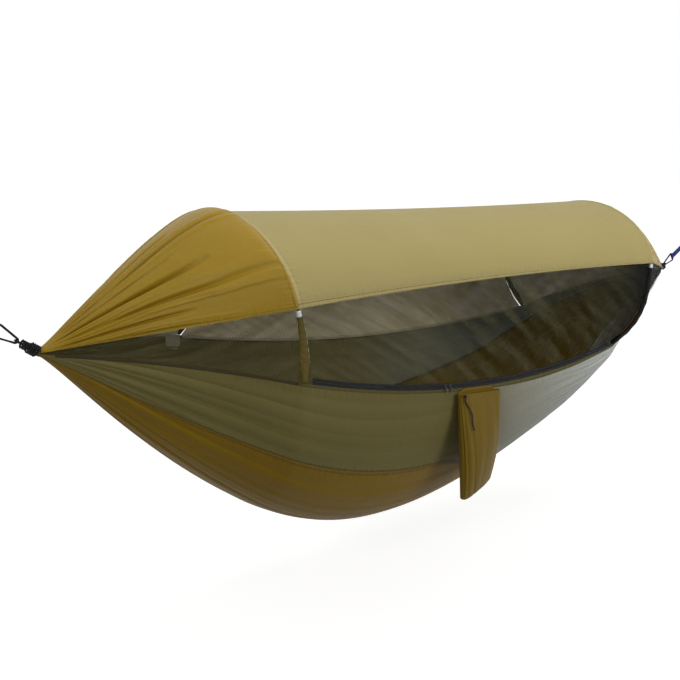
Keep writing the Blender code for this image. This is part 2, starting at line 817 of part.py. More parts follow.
def leg_edge(side, near_far, outward, share, stop_share):
    """The line where a net meets a leg, on one side of its sleeve."""
    length = leg_length(side, near_far)
    at = mix(net_top_drop / length, stop_share, share)
    path = [leg_point(side, near_far, at + step) for step in leg_step_shares]
    _, along_span, _ = frames(path, SPAN_X)[1]
    down_sleeve = (at * length - sleeve_start) / (length - pocket_length - sleeve_start)
    clear = max(ring_radius, sleeve_half_width(min(down_sleeve, 1))) + leg_side_gap
    return path[1] + along_span * clear * outward


def settle(share):
    return 1 - smooth_step(share / leg_settle_share)


def net(name, left_edge, right_edge, top, bottom, columns, finish, rows=6):
    """A net panel: ruled from its top line to its bottom line, drawn to the legs at its sides."""
    across = []
    for u in columns:
        column = []
        for v in np.linspace(0, 1, rows):
            sides = []
            for edge, anchor in ((left_edge, 0), (right_edge, 1)):
                if edge is None:
                    continue
                straight = mix(top(anchor), bottom(anchor), v)
                sides.append((edge(v) - straight) * settle(u if anchor == 0 else 1 - u))
            column.append(middle + mix(top(u), bottom(u), v) + sum(sides))
        across.append(column)
    sheet(name, across, finish, net_thickness)


def hem(station, near_far):
    """The roof's lower edge at a station, less the seam gap."""
    angle = SIGN[near_far] * math.pi / 2
    left, right = roof_point(0, angle), roof_point(1, angle)
    point = roof_point((station - left[0]) / (right[0] - left[0]), angle)
    return point - np.array([0, 0, HEM_GAP])


def cap_hem(side, station, near_far):
    """A cap's lower edge at a station, less the seam gap."""
    angle = SIGN[near_far] * math.pi / 2
    share = (SIGN[side] * half_span - station) / (SIGN[side] * (half_span - SHOULDER_REACH[side]))
    point = cap_edge(side, share, angle)
    return point - np.array([0, 0, HEM_GAP])


def above_rim(station, near_far):
    return rim(station, near_far) + np.array([0, 0, rim_clearance])


def above_zip(station):
    """A point of the near rim's arc moved up past the zip."""
    point = arc_at_station("near", station)
    inward = unit(zip_centre - point)
    return point + inward * (rim_radius - upper_edge + HEM_GAP)


def stop_share_at(side, near_far, outward, bottom):
    """How far down the leg a net's side reaches before it meets the line below."""
    low, high = 0.5, 1.0
    for _ in range(30):
        share = (low + high) / 2
        point = leg_edge(side, near_far, outward, 1, share)
        low, high = (share, high) if point[2] > bottom(point[0])[2] else (low, share)
    return low


def side_line(side, near_far, outward, bottom):
    stop = stop_share_at(side, near_far, outward, bottom)
    return lambda v: leg_edge(side, near_far, outward, v, stop)


for edge in ("near", "far"):
    lower = above_zip if edge == "near" else (lambda station: above_rim(station, "far"))
    finish = NET_OLIVE if edge == "near" else NET_BEIGE
    name = "front_net" if edge == "near" else "back_net"
    left_line = side_line("left", edge, 1, lower)
    right_line = side_line("right", edge, -1, lower)
    tops = left_line(0)[0], right_line(0)[0]
    feet_x = left_line(1)[0], right_line(1)[0]
    net(name, left_line, right_line,
        lambda u: hem(mix(*tops, u), edge), lambda u: lower(mix(*feet_x, u)),
        np.linspace(0, 1, 17), finish)
    for end in ("left", "right"):
        out = SIGN[end]
        below = lambda station: above_rim(station, edge)
        leg_side = side_line(end, edge, out, below)
        tip = out * (half_span - wedge_tip)
        ends = (leg_side(0)[0], tip), (leg_side(1)[0], tip)
        stations = [s for s in end_stations(out * half_span, feet[end, edge][0])
                    if wedge_tip < half_span - abs(s) < half_span - abs(ends[1][0])]
        shares = [(s - ends[1][0]) / (tip - ends[1][0]) for s in stations]
        shares = sorted({0, 1, wedge_first_share, *shares})
        net(f"{name}_{end}_wedge", leg_side, None,
            lambda u: cap_hem(end, mix(*ends[0], u), edge),
            lambda u: below(mix(*ends[1], u)), shares, finish, rows=5)


# Windings: one rope wound round the neck, then drawn in round the loop's two legs
def winding(name, gather, out, up, neck_length, throat_turns, finish):
    facet = math.cos(math.pi / winding_points_per_turn)
    collar = (neck_radius + cap_edge_lift / 2 + cloth / 2 + wrap_clearance) / facet
    throat = (2 * loop_rope_radius + seam_gap / 2 + wrap_clearance) / facet
    first = winding_start + winding_rope_radius
    narrow_from = neck_length + wrap_clearance
    last = winding_end(neck_length, throat_turns)
    count = round((last - first) / winding_pitch * winding_points_per_turn)
    path = []
    for k in range(count + 1):
        along = first + (last - first) * k / count
        turn = 2 * math.pi * (along - first) / winding_pitch
        narrowed = smooth_step((along - narrow_from) / (winding_pitch / 2))
        radius = collar + (throat - collar) * narrowed
        lift = up * cap_edge_lift / 2 * (1 - narrowed)
        path.append(gather + out * along + lift
                    + (SPAN_Y * math.cos(turn) + up * math.sin(turn)) * radius)
    rope(name, path, winding_rope_radius, finish)
    near_turn = winding_points_per_turn * 2 // 3
    least = min(np.linalg.norm(path[i] - path[j]) for i in range(len(path))
                for j in range(i + near_turn, len(path)))
    print(f"{name} least gap to itself {(least - 2 * winding_rope_radius) * 1000:.2f} mm")


winding("left_end_winding", left_gather, left_out, left_up, left_neck_length, left_throat_turns,
        NAVY_ROPE)
winding("right_end_winding", right_gather, right_out, right_up, right_neck_length,
        right_throat_turns, NAVY_ROPE)


flare_along_share, flare_aside_share = 1.6, 0.75
knot_length_share, knot_height_share = 0.7, 0.75


def end_loop(name, gather, out, neck_length, throat_turns, finish):
    """A rope doubled from a knot inside the neck to a bight that holds the carabiner."""
    reach = loop_reach(neck_length, throat_turns)
    leg = loop_rope_radius + seam_gap / 2
    knot_at = neck_length - loop_knot_length
    throat_end = reach - 2 * bight_radius - winding_rope_radius
    half = [(knot_at, leg), (neck_length, leg), (mix(neck_length, throat_end, 0.5), leg),
            (throat_end, leg),
            (reach - flare_along_share * bight_radius, mix(leg, bight_radius, flare_aside_share))]
    arc = [(reach - bight_radius + bight_radius * math.sin(t), bight_radius * math.cos(t))
           for t in np.linspace(0, math.pi, 13)]
    route = half + arc + [(along, -aside) for along, aside in half[::-1]]
    path = [gather + out * float(along) + SPAN_Y * float(aside) for along, aside in route]
    loop = rod(name, path, np.cross(out, SPAN_Y), [loop_rope_radius] * len(path), finish, 6)
    ball = neck_radius - cloth / 2 - 3 * seam_gap
    turns = np.radians((-84, -60, -30, 0, 30, 60, 84))
    centre = gather + out * (knot_at - loop_rope_radius / 2)
    rings = [ring(centre + out * ball * knot_length_share * math.sin(t), SPAN_Y, np.cross(out, SPAN_Y),
                  ball * math.cos(t), ball * knot_height_share * math.cos(t), 14) for t in turns]
    join(loop, loft("knot", rings, finish))


end_loop("left_end_loop", left_gather, left_out, left_neck_length, left_throat_turns, BLACK_ROPE)
end_loop("right_end_loop", right_gather, right_out, right_neck_length, right_throat_turns,
         BLACK_ROPE)


# Carabiners, in their own plane: along the rope from the bight, and up square to it
wide_end = carabiner_length - bight_radius
corner_at = np.array([wide_end - carabiner_corner, carabiner_straight / 2])
corner_run = np.linalg.norm(corner_at)
side_turn = (math.atan2(corner_at[1], corner_at[0]) + math.pi / 2
             + math.asin((bight_radius - carabiner_corner) / corner_run))
SIDE_NORMAL = np.array([math.cos(side_turn), math.sin(side_turn)])
narrow_tangent = SIDE_NORMAL * bight_radius
wide_tangent = corner_at + SIDE_NORMAL * carabiner_corner
FLIP = np.array([1, -1])
hinge_at = mix(narrow_tangent, wide_tangent, gate_hinge_share) * FLIP
nose_at = mix(narrow_tangent, wide_tangent, gate_nose_share) * FLIP
SIDE_ALONG = unit(nose_at - hinge_at)


def arc_points(centre, radius, start, stop, count):
    return [centre + radius * np.array([math.cos(t), math.sin(t)])
            for t in np.linspace(start, stop, count)]


def carabiner(side, bight, out, up):
    def place(point):
        return bight + out * float(point[0]) + up * float(point[1])

    def block(name, q_from, q_to, height, thickness):
        mid = hinge_at + SIDE_ALONG * (q_from + q_to) / 2
        along = out * SIDE_ALONG[0] + up * SIDE_ALONG[1]
        return box(name, place(mid), (along, np.cross(along, SPAN_Y), SPAN_Y),
                   (q_to - q_from, height, thickness), BLACK_METAL)

    def pin(name, radius, length, finish=BLACK_METAL):
        return rod(name, [place(hinge_at) + SPAN_Y * length / 2 * k for k in (-1, 1)], out,
                   [radius, radius], finish, 12)

    gate_run = np.linalg.norm(nose_at - hinge_at)
    line = [hinge_at + SIDE_ALONG * fork_reach]
    line += arc_points(np.zeros(2), bight_radius, -side_turn, -2 * math.pi + side_turn, 9)
    line += arc_points(corner_at, carabiner_corner, side_turn, 0, 5)
    line += arc_points(corner_at * FLIP, carabiner_corner, 0, -side_turn, 5)
    line += [nose_at]
    body = rod(f"{side}_carabiner_body", [place(p) for p in line], SPAN_Y,
               [rod_radius] * len(line), BLACK_METAL)
    over = 2 * rod_radius
    cut(body,
        block("fork slot", -gate_slot_depth, fork_reach + over, 2 * over, gate_slot),
        block("nose slot", gate_run - over, gate_run + gate_slot_depth, 2 * over, gate_slot),
        pin("rivet hole", rivet_radius + rivet_clearance, 2 * over))
    gate_from = fork_reach + fork_gap
    gate_to = gate_run - gate_tip_gap
    bar = [hinge_at + SIDE_ALONG * q for q in (gate_from, mix(gate_from, gate_to, 0.5), gate_to)]
    gate = rod(f"{side}_gate", [place(p) for p in bar], SPAN_Y, [gate_radius] * 3, STEEL)
    eye_path = [place(hinge_at) + SPAN_Y * gate_tongue / 2 * k for k in (-1, 1)]
    join(gate,
         rod("hinge eye", eye_path, out, [gate_tongue_height / 2] * 2, STEEL, 12),
         block("hinge tongue", 0, gate_from + gate_radius, gate_tongue_height, gate_tongue),
         block("nose tongue", gate_to - gate_radius, gate_run + gate_overlap, gate_tongue_height,
               gate_tongue))
    cut(gate, pin("rivet hole", rivet_radius + rivet_clearance, 2 * over))
    pin(f"{side}_gate_rivet", rivet_radius, 2 * (rod_radius - seam_gap), STEEL)


carabiner("left", np.zeros(3), left_out, left_up)
carabiner("right", right_bight, right_out, right_up)


# Tree straps: webbing sewn to itself, with an eye round the carabiner and a larger one beyond
eye_neck_along_share, eye_neck_aside_share = 1.5, 0.2
eye_join_share = 2.2


def eye_profile(radius, layer, count):
    """Half an eye of a strap, from its end to where its layers lie together."""
    half = [(-radius * math.cos(t), radius * math.sin(t))
            for t in np.linspace(0, math.radians(120), count)]
    neck = (eye_neck_along_share * radius, mix(layer, radius, eye_neck_aside_share))
    return half + [neck, (eye_join_share * radius, layer)]


def strap(name, bight, out, up, length, finish):
    layer = (webbing_thickness + strap_layer_gap) / 2
    rod_eye = eye_profile(rod_radius + strap_eye_clearance + webbing_thickness / 2, layer, 7)
    tree_eye = eye_profile(tree_eye_radius + webbing_thickness / 2, layer, 8)
    far = [(length - along, aside) for along, aside in tree_eye[::-1]]
    upper = rod_eye + far
    lower = [(along, -aside) for along, aside in upper[-2:0:-1]]
    path = [bight + out * (wide_end + along) + SPAN_Y * aside for along, aside in upper + lower]
    rings = []
    for k, point in enumerate(path):
        along = unit(path[(k + 1) % len(path)] - path[k - 1])
        thick = np.cross(along, up) * webbing_thickness / 2
        wide = up * webbing_width / 2
        near_edge, far_edge = point + wide, point - wide
        rings.append([near_edge + thick, near_edge - thick, far_edge - thick, far_edge + thick])
    loft(name, rings, finish, closed_loop=True)


strap("left_strap", np.zeros(3), left_out, left_up, left_strap_length, GREEN_WEBBING)
strap("right_strap", right_bight, right_out, right_up, right_strap_length, BLUE_WEBBING)


# Storage pouch: an open bag whose back wall reaches up to the near rim
pouch_middle = pouch_left_station + pouch_width / 2
pouch_top = arc_at_station("near", pouch_middle)
pouch_along = unit(arc_at_station("near", pouch_middle + pouch_width / 2)
                   - arc_at_station("near", pouch_left_station))
pouch_out = unit(np.cross(np.array([0, 0, 1.0]), pouch_along))
pouch_out = pouch_out if pouch_out[1] < 0 else -pouch_out
pouch_back = cloth / 2 + seam_gap


def pouch_thickness(share):
    """Depth of the bag from back to front: share 0 at the mouth, 1 at the foot."""
    swell = math.sin(math.pi * share * pouch_swell_share)
    return pouch_mouth_depth + (pouch_depth - pouch_mouth_depth) * swell


def pouch_half_width(share):
    return pouch_width / 2 - pouch_foot_narrowing * share**pouch_narrow_power


def pouch_ring(drop, inset, raised):
    """A ring of the bag at a depth below its mouth; raised lifts the back wall to the rim."""
    share = drop / (pouch_height - pouch_drop)
    half_width = pouch_half_width(share) - inset
    thickness = pouch_thickness(share)
    turn = pouch_twist * smooth_step(share)
    points = []
    for k in range(pouch_ring_points):
        t = 2 * math.pi * (k + 0.5) / pouch_ring_points
        square = (abs(math.cos(t)) ** pouch_squareness + abs(math.sin(t)) ** pouch_squareness) ** (
            1 / pouch_squareness)
        x = half_width * math.cos(t) / square
        y = (thickness / 2 - inset) * math.sin(t) / square
        on_back = y < -(thickness / 2 - inset) * pouch_back_share
        x, y = (x * math.cos(turn) + y * math.sin(turn), y * math.cos(turn) - x * math.sin(turn))
        lift = (pouch_drop - seam_gap) if raised and on_back else 0
        centre = middle + pouch_top + pouch_out * (pouch_back + thickness / 2)
        slant = pouch_foot_slant * share * x / half_width
        points.append(centre + pouch_along * x + pouch_out * y
                      + np.array([0, 0, lift + slant - pouch_drop - drop]))
    return points


bag_depth = pouch_height - pouch_drop
drops = [bag_depth * share for share in pouch_drop_shares]
outer = [pouch_ring(drop, 0, k == 0) for k, drop in enumerate(drops)]
inner = [pouch_ring(drop, pouch_wall, k == 0) for k, drop in enumerate(drops[:-1])]
sole = pouch_ring(bag_depth, 0, False)
foot_ring = [mix(p, np.mean(sole, axis=0), pouch_sole_share) for p in sole]
loft("storage_pouch", inner[::-1] + outer + [foot_ring], POUCH_GOLD)


def pouch_front(aside, drop, stand_off):
    """A point in front of the bag: aside from its middle, below its mouth, and off its front wall."""
    share = max(drop, 0) / (pouch_height - pouch_drop)
    half_width = pouch_half_width(share)
    fall = (1 - min(abs(aside) / half_width, 1) ** pouch_squareness) ** (1 / pouch_squareness)
    turned = aside * math.sin(pouch_twist * smooth_step(share))
    front = pouch_back + pouch_thickness(share) * (1 + fall) / 2 + stand_off - turned
    down = np.array([0, 0, -pouch_drop - drop + pouch_foot_slant * share * aside / half_width])
    return middle + pouch_top + pouch_along * aside + pouch_out * front + down


knot_at = pouch_front(-pouch_width * knot_aside_share, knot_radius, knot_radius + 2 * seam_gap)
knot_rings = [ring(knot_at + np.array([0, 0, knot_radius * math.sin(t)]), pouch_along, pouch_out,
                   knot_radius * math.cos(t), knot_radius * math.cos(t), 10)
              for t in np.radians((-70, -40, 0, 40, 70))]
loft("drawstring_knot", knot_rings, BLACK_ROPE)

# Drawstring tail: hand-set points, as distances aside from the knot, below it, and off the bag
CORD_POINTS = [(0.0, 0.0046, 0.0045), (0.001, 0.014, 0.0030), (0.010, 0.032, 0.0026),
               (0.020, 0.052, 0.0026), (0.018, 0.074, 0.0030), (0.024, 0.098, 0.0028)]


def smooth_line(points, per_piece):
    """Points on a smooth curve through the given ones."""
    padded = [2 * points[0] - points[1], *points, 2 * points[-1] - points[-2]]
    line = []
    for a, b, c, d in zip(padded, padded[1:], padded[2:], padded[3:]):
        for k in range(per_piece):
            t = k / per_piece
            line.append(0.5 * (2 * b + (c - a) * t + (2 * a - 5 * b + 4 * c - d) * t * t
                               + (3 * b - a - 3 * c + d) * t**3))
    return line + [points[-1]]


cord_route = [pouch_front(aside - pouch_width * knot_aside_share, knot_radius + drop, off)
              for aside, drop, off in CORD_POINTS]
rope("drawstring_tail", smooth_line(cord_route, 5), cord_radius, BLACK_ROPE, 2)
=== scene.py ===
"""Looks of a hammock tent: a gathered-end hammock under a sun roof and insect nets.

Metres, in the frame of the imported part: X from the left end to the right end, +Z up, the
zipped door faces -Y. The cloth hangs as it does between two trees with nobody in it.
"""

import math

import bmesh
import bpy
import numpy as np
from mathutils import Matrix, Vector


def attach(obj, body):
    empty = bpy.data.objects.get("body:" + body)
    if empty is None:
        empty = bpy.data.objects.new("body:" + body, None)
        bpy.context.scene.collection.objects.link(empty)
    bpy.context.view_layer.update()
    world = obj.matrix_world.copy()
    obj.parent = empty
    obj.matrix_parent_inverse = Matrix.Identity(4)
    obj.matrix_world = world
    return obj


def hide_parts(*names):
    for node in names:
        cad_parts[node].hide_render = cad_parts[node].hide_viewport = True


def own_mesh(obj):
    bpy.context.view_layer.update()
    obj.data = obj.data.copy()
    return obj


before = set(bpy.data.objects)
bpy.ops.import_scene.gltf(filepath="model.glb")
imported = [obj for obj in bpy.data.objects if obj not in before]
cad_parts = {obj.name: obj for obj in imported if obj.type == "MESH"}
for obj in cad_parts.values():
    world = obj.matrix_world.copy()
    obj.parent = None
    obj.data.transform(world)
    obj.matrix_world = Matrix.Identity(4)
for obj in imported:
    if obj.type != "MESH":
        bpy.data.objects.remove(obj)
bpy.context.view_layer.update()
bpy.ops.object.select_all(action="DESELECT")

# Camera and studio. The camera stands a little above the hammock, left of its middle, and
# looks along its near side. The floor is pale painted board under soft white light.
def linear(hex_text):
    """Linear colour of an sRGB value written as six hex digits."""
    parts = [int(hex_text[i : i + 2], 16) / 255 for i in (0, 2, 4)]
    return (*[c / 12.92 if c <= 0.04045 else ((c + 0.055) / 1.055) ** 2.4 for c in parts], 1)


def set_inputs(tree, node, inputs):
    """Sets a node's inputs. An input takes a value, or another node's output."""
    for key, value in inputs.items():
        if isinstance(value, bpy.types.NodeSocket):
            tree.links.new(value, node.inputs[key])
        else:
            node.inputs[key].default_value = value


def add_node(tree, kind, inputs=None, **settings):
    made = tree.nodes.new(kind)
    for name, value in settings.items():
        setattr(made, name, value)
    set_inputs(tree, made, inputs or {})
    return made


def new_material(name):
    made = bpy.data.materials.new(name)
    made.use_nodes = True
    return made, made.node_tree, made.node_tree.nodes["Principled BSDF"]


def direct_rays(tree):
    """1 for rays that show a surface to the camera, straight, in gloss or through cloth, and
    0 for rays that only carry its light to the object."""
    path = add_node(tree, "ShaderNodeLightPath")
    shown = path.outputs["Is Camera Ray"]
    for ray in ("Is Glossy Ray", "Is Transmission Ray"):
        shown = add_node(tree, "ShaderNodeMath", {0: shown, 1: path.outputs[ray]},
                         operation="MAXIMUM").outputs[0]
    return shown


def area_light(name, place, aim, size, power):
    data = bpy.data.lights.new(name, "AREA")
    data.shape = "DISK"
    data.size = size
    data.energy = power
    lamp = bpy.data.objects.new(name, data)
    lamp.location = place
    lamp.rotation_euler = (Vector(aim) - Vector(place)).to_track_quat("-Z", "Y").to_euler()
    bpy.context.scene.collection.objects.link(lamp)


camera_data = bpy.data.cameras.new("camera")
camera_data.lens = 41.03
camera_data.sensor_width = 36
camera = bpy.data.objects.new("camera", camera_data)
camera.location = (-0.35785, -1.93, 0.4457)
camera.rotation_euler = (math.pi / 2 - 0.242, 0, -0.591)
bpy.context.scene.collection.objects.link(camera)
bpy.context.scene.camera = camera
bpy.context.scene.view_settings.view_transform = "Standard"

white = (1, 1, 1, 1)
world = bpy.data.worlds.new("studio")
bpy.context.scene.world = world
world.use_nodes = True
sky = world.node_tree
strength = add_node(sky, "ShaderNodeMapRange", {"Value": direct_rays(sky), "To Min": 0.40, "To Max": 1.0})
set_inputs(sky, sky.nodes["Background"], {"Color": white, "Strength": strength.outputs["Result"]})
area_light("overhead softbox", (1.5, -0.2, 3.4), (1.25, 0, 0), 1.6, 46)
area_light("right front softbox", (2.6, -3.3, 0.95), (1.4, 0, -0.1), 1.6, 56)
area_light("left front softbox", (-1.9, -2.3, 1.4), (0.6, 0, 0), 1.2, 36)

floor_height = -1.05
bpy.ops.mesh.primitive_plane_add(size=60, location=(1.3, 0, floor_height))
floor = bpy.context.object
floor.name = "floor"
bpy.ops.object.transform_apply(location=True)
floor_paint, tree, shader = new_material("floor paint")
shown = direct_rays(tree)
pale = add_node(tree, "ShaderNodeMix", {0: shown, 6: linear("343433"), 7: linear("F4F4F2")},
                data_type="RGBA")
# The lamps fall off away from the object, and the glow makes up for that, so that the floor
# is white everywhere but in the object's shadow
spot = add_node(tree, "ShaderNodeTexCoord")
away = add_node(tree, "ShaderNodeVectorMath", {0: spot.outputs["Object"], 1: (1.3, -0.3, floor_height)},
                operation="DISTANCE")
evened = add_node(tree, "ShaderNodeMapRange", {"Value": away.outputs["Value"], "From Min": 1.2,
                                               "From Max": 6.0, "To Min": 0.52, "To Max": 0.70})
glow = add_node(tree, "ShaderNodeMath", {0: shown, 1: evened.outputs[0]}, operation="MULTIPLY")
set_inputs(tree, shader, {"Base Color": pale.outputs[2], "Emission Color": white,
                          "Emission Strength": glow.outputs[0], "Specular IOR Level": 0.0,
                          "Roughness": 0.9})
floor.data.materials.append(floor_paint)

# Bed: three long strips of thin ripstop nylon sewn side by side and gathered at both ends.
# The cloth is light enough to keep the fine folds that run out of each gather.
half_span = 1.25
SIGN = {"near": -1, "far": 1, "left": -1, "right": 1}
RISE = {"left": math.radians(37), "right": math.radians(30)}
REACH = {"left": 0.0653, "right": 0.0353}
OUT = {end: np.array([SIGN[end] * math.cos(rise), 0, math.sin(rise)]) for end, rise in RISE.items()}
UP = {end: np.array([-SIGN[end] * math.sin(rise), 0, math.cos(rise)]) for end, rise in RISE.items()}
ACROSS = np.array([0, 1, 0])
left_gather = -OUT["left"] * REACH["left"]
middle = left_gather + np.array([half_span, 0, 0])
GATHER = {"left": left_gather, "right": middle + np.array([half_span, 0, 0])}
BIGHT = {end: GATHER[end] + OUT[end] * REACH[end] for end in GATHER}
NECK = {"left": 0.026, "right": 0.014}
neck_radius = 0.009
FEET = {
    ("left", "near"): np.array([-0.704, -0.345, -0.084]),
    ("left", "far"): np.array([-0.750, 0.345, -0.090]),
    ("right", "near"): np.array([0.612, -0.268, -0.184]),
    ("right", "far"): np.array([0.700, 0.250, -0.140]),
}
RIM_LOW = {"near": np.array([-0.050, -0.333, -0.202]), "far": np.array([0.050, 0.335, -0.185])}


def unit(vector):
    return vector / np.linalg.norm(vector, axis=-1, keepdims=True)


def mix(a, b, share):
    return a * (1 - share) + b * share


def smooth_step(value):
    value = np.clip(value, 0, 1)
    return value * value * (3 - 2 * value)


def circle_through(a, m, b):
    """Centre, radius, two unit vectors in its plane, and angle of the arc a, m, b."""
    u, v = m - a, b - a
    uu, vv, uv = u @ u, v @ v, u @ v
    centre = a + (vv * (uu - uv) * u + uu * (vv - uv) * v) / (2 * (uu * vv - uv * uv))
    first = unit(a - centre)
    normal = unit(np.cross(u, v))
    second = np.cross(normal, first)
    if (b - centre) @ second < 0:
        second, normal = -second, -normal
    angle = math.atan2((b - centre) @ second, (b - centre) @ first)
    return centre, np.linalg.norm(a - centre), first, second, normal, angle


RIM_ARC = {side: circle_through(FEET["left", side], RIM_LOW[side], FEET["right", side]) for side in RIM_LOW}
RIM_LINE = {}
for side, (centre, radius, first, second, _, angle) in RIM_ARC.items():
    turns = np.linspace(0, angle, 200)[:, None]
    line = [centre + radius * (np.cos(turns) * first + np.sin(turns) * second)]
    for end, foot in (("left", FEET["left", side]), ("right", FEET["right", side])):
        gather = np.array([SIGN[end] * half_span, SIGN[side] * neck_radius, 0])
        share = np.linspace(0, 1, 120)[:, None]
        bow = np.array([0, SIGN[side] * 0.050, 0.060]) * share * (1 - share)
        line.append(mix(gather, foot, share) + bow)
    line = np.concatenate(line)
    RIM_LINE[side] = line[np.argsort(line[:, 0])]


def rim(stations, side):
    """Points of the bed's rim, measured from mid-span, where it crosses the stations."""
    line = RIM_LINE[side]
    return np.stack([stations, *[np.interp(stations, line[:, 0], line[:, k]) for k in (1, 2)]], axis=-1)


def far_station(stations):
    """The far rim's station that a near rim's station is joined to by the cloth's threads."""
    near = [-half_span, FEET["left", "near"][0], FEET["right", "near"][0], half_span]
    far = [-half_span, FEET["left", "far"][0], FEET["right", "far"][0], half_span]
    return np.interp(stations, near, far)


def bed_surface(stations, angles):
    """Rows of points on the bed: stations down the rows, section angles across them."""
    near, far = rim(stations, "near"), rim(far_station(stations), "far")
    points = mix(near[:, None, :], far[:, None, :], ((np.sin(angles) + 1) / 2)[..., None])
    along = points[..., 0]
    shifted = along + 0.436 * (1 - (along / half_span) ** 2)
    fall = 1 - np.minimum(np.abs(shifted) / half_span, 1) ** 1.95
    slim = 0.50 * smooth_step((along - 0.42) / 0.38)
    depth = neck_radius + 0.497 * fall ** 1.125 * (1 - slim)
    points[..., 2] -= depth * np.cos(angles)
    return points


def neck_rows(row, end):
    """A gathered row turned square to the rope, and the far end of the straight neck after it."""
    off = row - GATHER[end]
    square = GATHER[end] + ACROSS * off[:, 1:2] + UP[end] * off[:, 2:3]
    return square, square + OUT[end] * NECK[end]


def with_necks(points):
    """The bed's rows in place, with the straight neck added at both gathers."""
    points = points + middle
    points[0], left_tip = neck_rows(points[0], "left")
    points[-1], right_tip = neck_rows(points[-1], "right")
    return np.concatenate([left_tip[None], points, right_tip[None]])


def normals(points):
    along, across = np.gradient(points, axis=0), np.gradient(points, axis=1)
    return unit(np.cross(along, across) + 1e-12)


def cloth_sheet(name, points, flat, thickness=0.0005):
    """A sheet of cloth over a grid of points, with its UV map in metres of the flat cloth."""
    rows, columns = points.shape[:2]
    index = np.arange(rows * columns).reshape(rows, columns)
    faces = np.stack([index[:-1, :-1], index[:-1, 1:], index[1:, 1:], index[1:, :-1]],
                     axis=-1).reshape(-1, 4)
    mesh = bpy.data.meshes.new(name)
    mesh.from_pydata(points.reshape(-1, 3).tolist(), [], faces.tolist())
    steps = [np.linalg.norm(np.diff(points, axis=k), axis=2).mean(axis=1 - k) for k in (0, 1)]
    u, v = [np.concatenate([[0], step.cumsum()]) / step.sum() * size for step, size in zip(steps, flat)]
    u, v = np.meshgrid(u, v, indexing="ij")
    cloth_map = mesh.uv_layers.new(name="cloth")
    cloth_map.data.foreach_set("uv", np.stack([u, v], axis=-1).reshape(-1, 2)[faces.reshape(-1)].ravel())
    mesh.shade_smooth()
    piece = bpy.data.objects.new(name, mesh)
    bpy.context.scene.collection.objects.link(piece)
    wall = piece.modifiers.new("cloth thickness", "SOLIDIFY")
    wall.thickness = thickness
    wall.offset = 0
    wall.use_even_offset = False
    return piece


